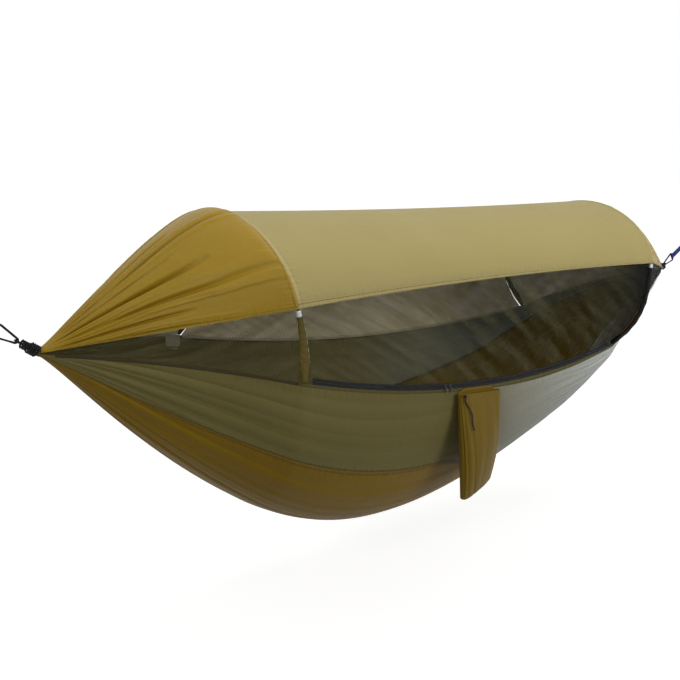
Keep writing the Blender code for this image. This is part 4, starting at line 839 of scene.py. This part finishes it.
# Pole hardware at each leg: a moulded nylon ferrule that joins arch and leg, a rubber ring
# that keeps the sleeve down, and a sewn cup of binding cloth that holds the pole's tip.
def turned_part(name, profile, bevel):
    """A round part up the Z axis from a profile of heights and radii, with soft edges."""
    bpy.ops.object.select_all(action="DESELECT")
    bpy.ops.mesh.primitive_circle_add(vertices=40, radius=profile[0][1], fill_type="NGON")
    made = bpy.context.object
    made.name = made.data.name = name
    bpy.ops.object.mode_set(mode="EDIT")
    bpy.ops.mesh.select_all(action="SELECT")
    for (low, last), (high, radius) in zip(profile, profile[1:]):
        bpy.ops.mesh.extrude_region_move(TRANSFORM_OT_translate={"value": (0, 0, high - low)})
        bpy.ops.transform.resize(value=(radius / last, radius / last, 1))
    bpy.ops.mesh.select_all(action="SELECT")
    bpy.ops.mesh.normals_make_consistent(inside=False)
    bpy.ops.object.mode_set(mode="OBJECT")
    rounding = made.modifiers.new("soft edges", "BEVEL")
    rounding.width, rounding.segments = bevel, 2
    bpy.ops.object.modifier_apply(modifier=rounding.name)
    bpy.ops.object.shade_smooth_by_angle(angle=math.radians(40))
    return made


def stand_on(pattern, name, place, along, across):
    """A copy of a part with its own mesh, its Z axis turned along a line."""
    copy = bpy.data.objects.new(name, pattern.data.copy())
    bpy.context.scene.collection.objects.link(copy)
    axes = Matrix(np.array([across, np.cross(along, across), along]).T.tolist()).to_4x4()
    copy.data.transform(Matrix.Translation(place.tolist()) @ axes)
    return copy


def plastic(name, colour, roughness, grain):
    """Moulded plastic or rubber: even colour, with a fine spark-eroded grain in the gloss."""
    made, tree, shader = new_material(name)
    here = add_node(tree, "ShaderNodeTexCoord").outputs["Object"]
    speckle = add_node(tree, "ShaderNodeTexNoise", {"Vector": here, "Scale": 1 / grain, "Detail": 2.0})
    bump = add_node(tree, "ShaderNodeBump", {"Height": speckle.outputs["Fac"], "Distance": 0.00006})
    rough = add_node(tree, "ShaderNodeMapRange", {"Value": speckle.outputs["Fac"],
                                                  "To Min": roughness - 0.08, "To Max": roughness + 0.08})
    set_inputs(tree, shader, {"Base Color": linear(colour), "Normal": bump.outputs["Normal"],
                              "Roughness": rough.outputs[0], "IOR": 1.5})
    return made


def refinish(node, finish):
    """A better material on a piece that keeps its CAD shape."""
    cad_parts[node].data.materials.clear()
    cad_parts[node].data.materials.append(finish)


white_nylon = plastic("white moulded nylon", "CBD1CA", 0.35, 0.0008)
ring_rubber = plastic("black ring rubber", "101010", 0.6, 0.0006)
glass_fibre = plastic("pulled glass fibre", "1B1C1E", 0.3, 0.002)
pale_tape = nylon("pale binding tape", "C9C4AE", "B4AE94")
ferrule = turned_part("ferrule", [(0, 0.0056), (0.0012, 0.0062), (0.0052, 0.0070), (0.0060, 0.0061),
                                  (0.0100, 0.0061), (0.0108, 0.0070), (0.0148, 0.0062),
                                  (0.016, 0.0056)], 0.0003)
rubber_ring = turned_part("rubber ring", [(0, 0.0070), (0.0008, ring_radius), (0.0024, ring_radius),
                                          (0.0032, 0.0070)], 0.0004)
pocket_tip = 0.0085
for hoop, edge in FEET:
    length = leg_length(hoop, edge)
    for pattern, node, slot, start, finish in (
            (ferrule, "pole_fitting", "white_plastic", 0.005, white_nylon),
            (rubber_ring, "sleeve_ring", "black_rubber", 0.0213, ring_rubber)):
        points, along, across, _ = leg_part(hoop, edge, start, start + 0.016, 3)
        piece = stand_on(pattern, f"{hoop}_{edge}_{pattern.name.split(' ')[-1]}", middle + points[0],
                         along[1], across[1])
        dress(piece, finish, f"{hoop}_hoop", f"{hoop}_{edge}_{node}")
    points, along, across, normal = leg_part(hoop, edge, length - pocket_length, length, 40)
    share = smooth_step(np.linspace(0, 1, 40))[:, None]
    pucker = 1 + 0.05 * np.sin(round_turns * 6 + share * 9) * np.sin(math.pi * share)
    wide, thick = mix(0.0145, pocket_tip, share) * pucker, mix(0.0072, pocket_tip, share) * pucker
    tip = np.radians(np.linspace(6, 86, 12))[:, None]
    tip_radius = pocket_tip * np.cos(tip)
    rings = np.concatenate([tube_rings(points, across, normal, wide, thick, round_turns),
                            tube_rings(points[-1] + along[-1] * pocket_tip * np.sin(tip), across[-1:],
                                       normal[-1:], tip_radius, tip_radius, round_turns)])
    pocket = skin(f"{hoop}_{edge}_pocket", middle + rings)
    # Every foot pocket but the near left one is drawn in painted shade
    sleeve_lighting = "olive" if (hoop, edge) == ("left", "near") else "dark"
    dress(pocket, sleeve_cloth[sleeve_lighting], f"{hoop}_hoop", f"{hoop}_{edge}_foot_pocket")
    refinish(f"{hoop}_{edge}_leg_pole", glass_fibre)
for hoop in ("left", "right"):
    refinish(f"{hoop}_arch_pole", glass_fibre)
for pattern in (ferrule, rubber_ring):
    bpy.data.objects.remove(pattern)

# Ropes at the ends: black laid polyester cord wound over the gathered cloth, and a doubled
# loop of it in which the carabiner hangs.
def laid_rope(name, path, radius, strands=3, lay=4.2):
    """A twisted rope along a path: strands that stand out of a round section and turn."""
    path = np.asarray(path, float)
    along = unit(np.gradient(path, axis=0))
    side = [unit(np.cross(along[0], [0.1, 0.2, 1.0]))]
    for direction in along[1:]:
        side.append(unit(side[-1] - direction * (side[-1] @ direction)))
    side = np.array(side)
    up = np.cross(along, side)
    turns = np.linspace(0, 2 * math.pi, 8 * strands, endpoint=False)
    spin = (run_along(path) / (lay * radius * 2) * 2 * math.pi / strands)[:, None]
    bulge = radius * (0.90 + 0.10 * np.cos(strands * (turns - spin)))
    return skin(name, tube_rings(path, side, up, bulge, bulge, turns))


def cord_yarn(name, base, light, grain):
    """Polyester yarn: dull filaments that lie along the strands and catch a little light, in
    bands 0.63 of the grain apart."""
    made, tree, shader = new_material(name)
    place = add_node(tree, "ShaderNodeUVMap", uv_map="cloth")
    slant = add_node(tree, "ShaderNodeMapping", {"Vector": place.outputs["UV"], "Rotation": (0, 0, 0.7)})
    yarn = add_node(tree, "ShaderNodeTexWave", {"Vector": slant.outputs[0], "Scale": 0.5 / grain,
                                                "Distortion": 1.5, "Detail": 2.0}, bands_direction="Y")
    tint = add_node(tree, "ShaderNodeMix", {0: yarn.outputs["Fac"], 6: linear(base), 7: linear(light)},
                    data_type="RGBA")
    bump = add_node(tree, "ShaderNodeBump", {"Height": yarn.outputs["Fac"], "Distance": 0.0002})
    set_inputs(tree, shader, {"Base Color": tint.outputs[2], "Normal": bump.outputs["Normal"],
                              "Roughness": 0.7, "Specular IOR Level": 0.2})
    return made


black_cord = cord_yarn("black polyester cord", "050608", "14161D", 0.0012)
navy_cord = cord_yarn("navy polyester cord", "070A14", "1A2136", 0.0012)
loop_radius, winding_radius, winding_pitch, bight_radius = 0.003, 0.0027, 0.006, 0.0063
for end, throat_turns, cord in (("left", 3, black_cord), ("right", 0, navy_cord)):
    gather, out, up, neck, reach = GATHER[end], OUT[end], UP[end], NECK[end], REACH[end]
    collar = neck_radius + cap_edge_lift / 2 + cloth_thickness + winding_radius + clearance
    throat = 2 * loop_radius + winding_radius + 0.0005
    first = 0.0030 + winding_radius
    last = neck + winding_radius + clearance + (throat_turns + 0.5) * winding_pitch
    steps = np.linspace(first, last, int((last - first) / winding_pitch * 72))
    narrowed = smooth_step((steps - neck - winding_radius) / (winding_pitch / 2))[:, None]
    radius = collar + (throat - collar) * narrowed
    turn = (2 * math.pi * (steps - first) / winding_pitch)[:, None]
    path = (gather + out * steps[:, None] + up * cap_edge_lift / 2 * (1 - narrowed)
            + (ACROSS * np.cos(turn) + up * np.sin(turn)) * radius)
    winding = laid_rope(f"{end}_winding_rope", path, winding_radius)
    dress(winding, cord, "hammock", f"{end}_end_winding")
    leg = loop_radius + clearance / 2
    half = np.array([(neck - 0.011, leg), (neck, leg), (reach - 2 * bight_radius - 0.0027, leg),
                     (reach - 1.6 * bight_radius, mix(leg, bight_radius, 0.75))])
    bend = np.linspace(0, math.pi, 40)
    arc = np.stack([reach - bight_radius + bight_radius * np.sin(bend), bight_radius * np.cos(bend)],
                   axis=-1)
    route = np.concatenate([half, arc, half[::-1] * [1, -1]])
    knots = run_along(route)
    route = points_at(np.linspace(0, knots[-1], 220), knots, route)
    loop = laid_rope(f"{end}_loop_rope", gather + out * route[:, :1] + ACROSS * route[:, 1:], loop_radius)
    dress(loop, black_cord, "hammock", f"{end}_end_loop")

# Drawstring: thin black cord that draws the pouch's mouth up at the left. It is knotted there,
# and its free tail hangs down the front of the bag.
string_radius, knot_radius = 0.0021, 0.0062
STRING_POINTS = [(0.0, 0.0088, 0.0048), (0.001, 0.0182, 0.0036), (0.010, 0.0362, 0.0032),
                 (0.020, 0.0562, 0.0032), (0.018, 0.0782, 0.0036), (0.024, 0.1022, 0.0034)]


def pouch_front(aside, drop, stand_off):
    """A point in front of the pouch, at a distance aside from its middle and below its top."""
    share = drop / bag_depth
    half, thick = pouch_section(share)
    fall = (1 - min(abs(aside) / half, 1) ** pouch_squareness) ** (1 / pouch_squareness)
    front = thick * (1 + fall) / 2 + stand_off - aside * math.sin(pouch_twist * smooth_step(share))
    return on_pouch(aside, front, drop, half)


mouth_corner = -pouch_width * 0.42
knot_at = pouch_front(mouth_corner, 0.0042, 0.0052)
hung = np.array([pouch_front(mouth_corner + aside, drop, off) for aside, drop, off in STRING_POINTS])
padded = np.concatenate([2 * hung[:1] - hung[1:2], hung, 2 * hung[-1:] - hung[-2:-1]])
steps = np.linspace(0, 1, 7, endpoint=False)[:, None]
# A smooth curve through the points, by the Catmull-Rom rule
string_line = np.concatenate([
    0.5 * (2 * b + (c - a) * steps + (2 * a - 5 * b + 4 * c - d) * steps ** 2
           + (3 * b - a - 3 * c + d) * steps ** 3)
    for a, b, c, d in zip(padded, padded[1:], padded[2:], padded[3:])] + [hung[-1:]])
string_tail = laid_rope("drawstring", string_line, string_radius, lay=3.4)
# An overhand knot drawn tight is a trefoil
turns = np.linspace(0, 2 * math.pi, 96, endpoint=False)
trefoil = np.stack([np.sin(turns) + 2 * np.sin(2 * turns), np.cos(turns) - 2 * np.cos(2 * turns),
                    -1.5 * np.sin(3 * turns)], axis=-1) * (knot_radius - string_radius) / 3
trefoil = (knot_at + trefoil[:, :1] * pouch_along + trefoil[:, 1:2] * np.array([0, 0, 1.0])
           + trefoil[:, 2:] * pouch_out)
along = unit(np.roll(trefoil, -1, axis=0) - np.roll(trefoil, 1, axis=0))
across = unit(np.cross(along, pouch_out))
tight_radius = string_radius * 0.86
knot_rings = tube_rings(trefoil, across, np.cross(along, across), tight_radius, tight_radius,
                        np.linspace(0, 2 * math.pi, 14, endpoint=False))
string_knot = skin("drawstring_overhand_knot", knot_rings, ring_loop=True)
for piece, node in ((string_tail, "drawstring_tail"), (string_knot, "drawstring_knot")):
    dress(piece, black_cord, "pouch", node)
run_along(string_line)[-1]

# Rim binding: a folded tape sewn over the bed's cut edge, which the nets are sewn into too. It
# is dark on the near side, up to the zip, and pale on the far side.
def rim_binding(name, stations, side, finish):
    points = rim(stations, side)
    _, across, up = line_axes(points, np.array([0, 1.0, 0]))
    up = up * np.sign(up[:, 2:])
    turns = np.linspace(0, 2 * math.pi, 20, endpoint=False)
    wide = 0.0013 * np.sign(np.cos(turns)) * np.abs(np.cos(turns)) ** 0.5
    tall = 0.0042 * np.sign(np.sin(turns)) * np.abs(np.sin(turns)) ** 0.5 - 0.0030
    wave = 1 + 0.10 * np.sin(points[:, :1] * 140) + 0.06 * np.sin(points[:, :1] * 57)
    rings = points[:, None] + across[:, None] * (wide * wave)[..., None] + up[:, None] * tall[None, :, None]
    dress(skin(name, middle + rings), finish, "hammock")


dark_tape = nylon("dark binding tape", "37301A", "29240F")
binding_end, foot_room = half_span - 0.030, 0.012
for side, finish in (("near", dark_tape), ("far", pale_tape)):
    left_foot, right_foot = FEET["left", side][0], FEET["right", side][0]
    rim_binding(f"{side}_left_binding", np.linspace(-binding_end, left_foot - foot_room, 160), side, finish)
    if side == "far":
        rim_binding("far_middle_binding",
                    np.linspace(left_foot + foot_room, right_foot - foot_room, 400), side, finish)
    rim_binding(f"{side}_right_binding", np.linspace(right_foot + foot_room, binding_end, 160), side,
                finish)

# Foot patch: a pale rounded piece of binding cloth, sewn inside the bed's back edge at the far
# left foot, where the pole's foot would chafe the nylon.
patch_flat = (0.068, 0.040)
patch_aside = np.linspace(-1, 1, 41)
patch_down = np.linspace(0.10, 1, 16)
patch_stations = FEET["left", "far"][0] + 0.013 + patch_flat[0] / 2 * patch_aside
patch_depth = 0.115 * (1 - 0.45 * np.abs(patch_aside) ** 5)
patch_points = folded_bed(patch_stations, math.pi / 2 - patch_depth[:, None] * patch_down)
inside = normals(patch_points)
inside = inside * -np.sign(inside[..., 1:2])
foot_patch = cloth_sheet("far_left_foot_patch", middle + patch_points + inside * 0.0014, patch_flat,
                         thickness=0.0008)
dress(foot_patch, pale_tape, "hammock")

# Sleeve piping: a round cord sewn into the sleeve's outer edge on the near legs, pale on the
# left one. On the right one it is drawn rust-brown, a painted highlight along the edge of a sleeve
# that is drawn in painted shade.
piping_radius, piping_turns = 0.0016, np.linspace(0, 2 * math.pi, 12, endpoint=False)
for hoop, colours in (("left", ("D2CBAF", "BDB595")), ("right", ("7A5226", "5F3E1A"))):
    points, _, across, normal = leg_part(hoop, "near", ring_end + 0.004,
                                         leg_length(hoop, "near") - pocket_length + 0.004, 70)
    share = np.linspace(0, 1, 70)[:, None]
    seam = points - SIGN[hoop] * across * (sleeve_top + 0.0006 + sleeve_flare * share) - normal * 0.002
    rings = tube_rings(seam, across, normal, piping_radius, piping_radius, piping_turns)
    piping = skin(f"{hoop}_near_piping", middle + rings)
    dress(piping, nylon(f"{hoop} piping nylon", *colours), f"{hoop}_hoop")

# Carabiners: pear-shaped hooks of 6 mm black anodised rod. Each has a turned gate that swings
# on a rivet in a slot, with a tongue that drops into a second slot at its nose.
rod_radius, carabiner_length, carabiner_straight, carabiner_corner = 0.003, 0.058, 0.022, 0.005
gate_radius, gate_tongue, gate_tongue_height = 0.0025, 0.0024, 0.0040
gate_slot, gate_slot_depth = 0.0030, 0.0035
fork_reach, rivet_radius = 0.0028, 0.0009
wide_end = carabiner_length - bight_radius
corner_at = np.array([wide_end - carabiner_corner, carabiner_straight / 2])
side_turn = (math.atan2(corner_at[1], corner_at[0]) + math.pi / 2
             + math.asin((bight_radius - carabiner_corner) / np.linalg.norm(corner_at)))
side_normal = np.array([math.cos(side_turn), math.sin(side_turn)])
below_line = np.array([1, -1])
narrow_tangent, wide_tangent = side_normal * bight_radius, corner_at + side_normal * carabiner_corner
hinge_at = mix(narrow_tangent, wide_tangent, 0.16) * below_line
nose_at = mix(narrow_tangent, wide_tangent, 0.80) * below_line
gate_along = unit(nose_at - hinge_at)
gate_turn = math.atan2(gate_along[1], gate_along[0])
gate_run = np.linalg.norm(nose_at - hinge_at)


def flat_point(point):
    return Vector((float(point[0]), float(point[1]), 0))


def cut_or_join(base, tool, kind):
    """Bakes a cut or a join with another part, which is then removed."""
    step = base.modifiers.new(kind.lower(), "BOOLEAN")
    step.operation, step.object, step.solver = kind, tool, "EXACT"
    bpy.ops.object.select_all(action="DESELECT")
    bpy.context.view_layer.objects.active = base
    base.select_set(True)
    bpy.ops.object.modifier_apply(modifier=step.name)
    bpy.data.objects.remove(tool)


def gate_block(start, stop, height, thickness, soft=0.0):
    """A block along the gate's line, from one distance past the hinge to another."""
    bpy.ops.object.select_all(action="DESELECT")
    bpy.ops.mesh.primitive_cube_add(size=1, location=flat_point(hinge_at + gate_along * (start + stop) / 2),
                                    rotation=(0, 0, gate_turn), scale=(stop - start, height, thickness))
    block = bpy.context.object
    bpy.ops.object.transform_apply(location=True, rotation=True, scale=True)
    if soft:
        bpy.ops.object.mode_set(mode="EDIT")
        bpy.ops.mesh.select_all(action="SELECT")
        bpy.ops.mesh.bevel(offset=soft, segments=2, affect="EDGES")
        bpy.ops.object.mode_set(mode="OBJECT")
    return block


def cross_pin(radius, length, sides=24):
    bpy.ops.object.select_all(action="DESELECT")
    bpy.ops.mesh.primitive_cylinder_add(vertices=sides, radius=radius, depth=length,
                                        location=flat_point(hinge_at))
    pin = bpy.context.object
    bpy.ops.object.transform_apply(location=True)
    return pin


bpy.ops.object.select_all(action="DESELECT")
start_at = flat_point(hinge_at + gate_along * fork_reach)
bpy.ops.mesh.primitive_circle_add(vertices=24, radius=rod_radius, fill_type="NOTHING", location=start_at,
                                  rotation=Vector((*-gate_along, 0)).to_track_quat("Z", "Y").to_euler())
hook = bpy.context.object
hook.name = hook.data.name = "hook"
bpy.ops.object.transform_apply(location=True, rotation=True)
bpy.ops.object.mode_set(mode="EDIT")
bpy.ops.mesh.select_all(action="SELECT")
corner_below = corner_at * below_line
place_now = start_at
for kind, value in (
        ("straight", narrow_tangent * below_line),
        ("bend", (np.zeros(2), 2 * math.pi - 2 * side_turn, 36)),
        ("straight", wide_tangent),
        ("bend", (corner_at, side_turn, 14)),
        ("straight", corner_below + [carabiner_corner, 0]),
        ("bend", (corner_below, side_turn, 14)),
        ("straight", nose_at)):
    if kind == "straight":
        bpy.ops.mesh.extrude_region_move(TRANSFORM_OT_translate={"value": flat_point(value) - place_now})
        place_now = flat_point(value)
    else:
        centre, turn, steps = value
        bpy.ops.mesh.spin(steps=steps, angle=turn, center=flat_point(centre), axis=(0, 0, 1))
        place_now = flat_point(centre) + Matrix.Rotation(-turn, 3, "Z") @ (place_now - flat_point(centre))
bpy.ops.mesh.select_all(action="SELECT")
bpy.ops.mesh.remove_doubles(threshold=0.00001)
bpy.ops.mesh.fill_holes(sides=0)
bpy.ops.mesh.normals_make_consistent(inside=False)
bpy.ops.object.mode_set(mode="OBJECT")
cut_or_join(hook, gate_block(-gate_slot_depth, fork_reach + 0.006, 0.012, gate_slot), "DIFFERENCE")
cut_or_join(hook, gate_block(gate_run - 0.006, gate_run + gate_slot_depth, 0.012, gate_slot), "DIFFERENCE")
cut_or_join(hook, cross_pin(rivet_radius + clearance, 0.012), "DIFFERENCE")
bpy.ops.object.shade_smooth_by_angle(angle=math.radians(35))

gate_from, gate_to = fork_reach + 0.0011, gate_run - 0.0008
bpy.ops.object.select_all(action="DESELECT")
bpy.ops.mesh.primitive_cylinder_add(
    vertices=28, radius=gate_radius, depth=gate_to - gate_from,
    location=flat_point(hinge_at + gate_along * (gate_from + gate_to) / 2),
    rotation=Vector((*gate_along, 0)).to_track_quat("Z", "Y").to_euler())
gate = bpy.context.object
gate.name = gate.data.name = "gate bar"
bpy.ops.object.transform_apply(location=True, rotation=True)
rounding = gate.modifiers.new("turned ends", "BEVEL")
rounding.width, rounding.segments, rounding.angle_limit = 0.0006, 3, math.radians(50)
bpy.ops.object.modifier_apply(modifier=rounding.name)
cut_or_join(gate, cross_pin(gate_tongue_height / 2, gate_tongue, 30), "UNION")
cut_or_join(gate, gate_block(0, gate_from + gate_radius, gate_tongue_height, gate_tongue), "UNION")
cut_or_join(gate, gate_block(gate_to - gate_radius, gate_run + 0.0025, gate_tongue_height, gate_tongue),
            "UNION")
cut_or_join(gate, cross_pin(rivet_radius + clearance, 0.012), "DIFFERENCE")
bpy.ops.object.shade_smooth_by_angle(angle=math.radians(35))

rivet = cross_pin(rivet_radius, 2 * (rod_radius - clearance), 20)
rivet.name = rivet.data.name = "rivet pin"
bpy.ops.object.mode_set(mode="EDIT")
bpy.ops.mesh.select_mode(type="FACE")
bpy.ops.mesh.select_all(action="DESELECT")
pin_mesh = bmesh.from_edit_mesh(rivet.data)
for face in pin_mesh.faces:
    face.select = abs(face.normal.z) > 0.9
bmesh.update_edit_mesh(rivet.data)
bpy.ops.mesh.inset(thickness=0.00025)
bpy.ops.mesh.inset(thickness=0.00015, depth=-0.0002)
bpy.ops.object.mode_set(mode="OBJECT")
bpy.ops.object.shade_smooth_by_angle(angle=math.radians(35))


def dark_metal(name, colour, roughness, metallic):
    """Anodised or lacquered metal: nearly black, with fine tumbling marks in the gloss."""
    made, tree, shader = new_material(name)
    here = add_node(tree, "ShaderNodeTexCoord").outputs["Object"]
    marks = add_node(tree, "ShaderNodeTexNoise", {"Vector": here, "Scale": 900.0, "Detail": 3.0})
    rough = add_node(tree, "ShaderNodeMapRange", {"Value": marks.outputs["Fac"], "To Min": roughness - 0.1,
                                                  "To Max": roughness + 0.1})
    bump = add_node(tree, "ShaderNodeBump", {"Height": marks.outputs["Fac"], "Distance": 0.00003})
    set_inputs(tree, shader, {"Base Color": linear(colour), "Normal": bump.outputs["Normal"],
                              "Roughness": rough.outputs[0], "Metallic": metallic})
    return made


black_aluminium = dark_metal("black anodised aluminium", "17181B", 0.36, 0.9)
rivet_steel = dark_metal("blackened rivet steel", "3C3E42", 0.4, 1.0)
for end in ("left", "right"):
    for pattern, piece_name, node, finish, slot, body in (
            (hook, "hook", "carabiner_body", black_aluminium, "black_metal", "carabiner"),
            (gate, "gate_bar", "gate", black_aluminium, "steel", "carabiner_gate"),
            (rivet, "rivet_pin", "gate_rivet", rivet_steel, "steel", "carabiner")):
        piece = stand_on(pattern, f"{end}_{piece_name}", BIGHT[end], np.cross(OUT[end], UP[end]), OUT[end])
        dress(piece, finish, f"{end}_{body}", f"{end}_{node}")
for pattern in (hook, gate, rivet):
    bpy.data.objects.remove(pattern)
# The zip's two sliders and their pulls keep the CAD shapes, in lacquered zinc
slider_zinc = dark_metal("black lacquered zinc", "0C0D0E", 0.5, 0.2)
for node in ("left_slider", "left_pull", "right_slider", "right_pull"):
    refinish(node, slider_zinc)

# Tree straps: 20 mm polyester webbing, sewn to itself with an eye round the carabiner and a
# larger one beyond the view. Its ribs run across it, and its edges are woven round.
webbing_width, webbing_thickness, strap_layer_gap = 0.020, 0.0018, 0.0004


def webbing(name, base, dark):
    """Polyester webbing: ribs across the strap every 1.1 mm, of warp threads 0.6 mm apart, that
    catch the light in rows."""
    made, tree, shader = new_material(name)
    place = add_node(tree, "ShaderNodeUVMap", uv_map="cloth").outputs["UV"]
    ribs, warp = [add_node(tree, "ShaderNodeTexWave", {"Vector": place, "Scale": 0.5 / grain},
                           bands_direction=way, wave_profile="SIN").outputs["Fac"]
                  for way, grain in (("X", 0.0017), ("Y", 0.0009))]
    weave = add_node(tree, "ShaderNodeMath", {0: ribs, 1: warp}, operation="MULTIPLY").outputs[0]
    tint = add_node(tree, "ShaderNodeMix", {0: weave, 6: linear(dark), 7: linear(base)}, data_type="RGBA")
    bump = add_node(tree, "ShaderNodeBump", {"Height": weave, "Distance": 0.0003})
    set_inputs(tree, shader, {"Base Color": tint.outputs[2], "Normal": bump.outputs["Normal"],
                              "Roughness": 0.6, "Specular IOR Level": 0.25})
    return made


def eye_profile(radius, layer, count):
    """Half an eye of a strap, from its end to where its layers lie together."""
    turns = np.linspace(0, math.radians(120), count)
    half = list(zip(-radius * np.cos(turns), radius * np.sin(turns)))
    return half + [(1.5 * radius, mix(layer, radius, 0.2)), (2.2 * radius, layer)]


def rounded_line(points, count):
    """A closed line with its corners cut and its points evenly spread."""
    after = np.roll(points, -1, axis=0)
    points = np.stack([mix(points, after, 0.25), mix(points, after, 0.75)], axis=1).reshape(-1, 3)
    closed = np.concatenate([points, points[:1]])
    run = run_along(closed)
    return points_at(np.linspace(0, run[-1], count, endpoint=False), run, closed)


edge_turns = np.linspace(0, 2 * math.pi, 28, endpoint=False)
edge_wide = np.sign(np.cos(edge_turns)) * np.abs(np.cos(edge_turns)) ** 0.25 * webbing_width / 2
edge_thick = np.sign(np.sin(edge_turns)) * np.abs(np.sin(edge_turns)) ** 0.5 * webbing_thickness / 2
tack_thread = cord_yarn("bar tack thread", "101418", "2A3036", 0.0008)
tack_turns, tack_radius, tack_half = np.linspace(0, 2 * math.pi, 6, endpoint=False), 0.00035, 0.0075
zigzag = np.linspace(-1, 1, 90)[:, None]
for end, length, slot, finish in (
        ("left", 0.115, "green_webbing", webbing("green polyester webbing", "2F6B45", "17402A")),
        ("right", 0.165, "blue_webbing", webbing("blue polyester webbing", "2148A0", "0F2660"))):
    out, up, body = OUT[end], UP[end], f"{end}_tree_strap"
    layer = (webbing_thickness + strap_layer_gap) / 2
    rod_eye = eye_profile(rod_radius + clearance + webbing_thickness / 2, layer, 16)
    tree_eye = eye_profile(0.012 + webbing_thickness / 2, layer, 16)
    upper = np.array(rod_eye + [(length - along, aside) for along, aside in tree_eye[::-1]])
    profile = np.concatenate([upper, upper[-2:0:-1] * [1, -1]])
    line = BIGHT[end] + out * (wide_end + profile[:, :1]) + ACROSS * profile[:, 1:]
    line = rounded_line(line, 420)
    along = unit(np.roll(line, -1, axis=0) - np.roll(line, 1, axis=0))
    rings = (line[:, None] + up * edge_wide[None, :, None]
             + np.cross(along, up)[:, None] * edge_thick[None, :, None])
    dress(skin(f"{end}_webbing", rings, ring_loop=True), finish, body, f"{end}_strap")
    # Three bar tacks hold the eye round the carabiner: thread rows 15 mm long, zigzag across
    for row, distance in enumerate((0.0125, 0.0165, 0.0205)):
        for face, face_name in ((-1, "front"), (1, "back")):
            stitches = (BIGHT[end] + out * (wide_end + distance + 0.0009 * np.sign(np.sin(zigzag * 60)))
                        + up * zigzag * tack_half
                        + ACROSS * face * (layer + webbing_thickness / 2 + 0.00005))
            tack_rings = tube_rings(stitches, out[None], ACROSS[None], tack_radius, tack_radius, tack_turns)
            dress(skin(f"{end}_bar_tack_{row}_{face_name}", tack_rings), tack_thread, body)
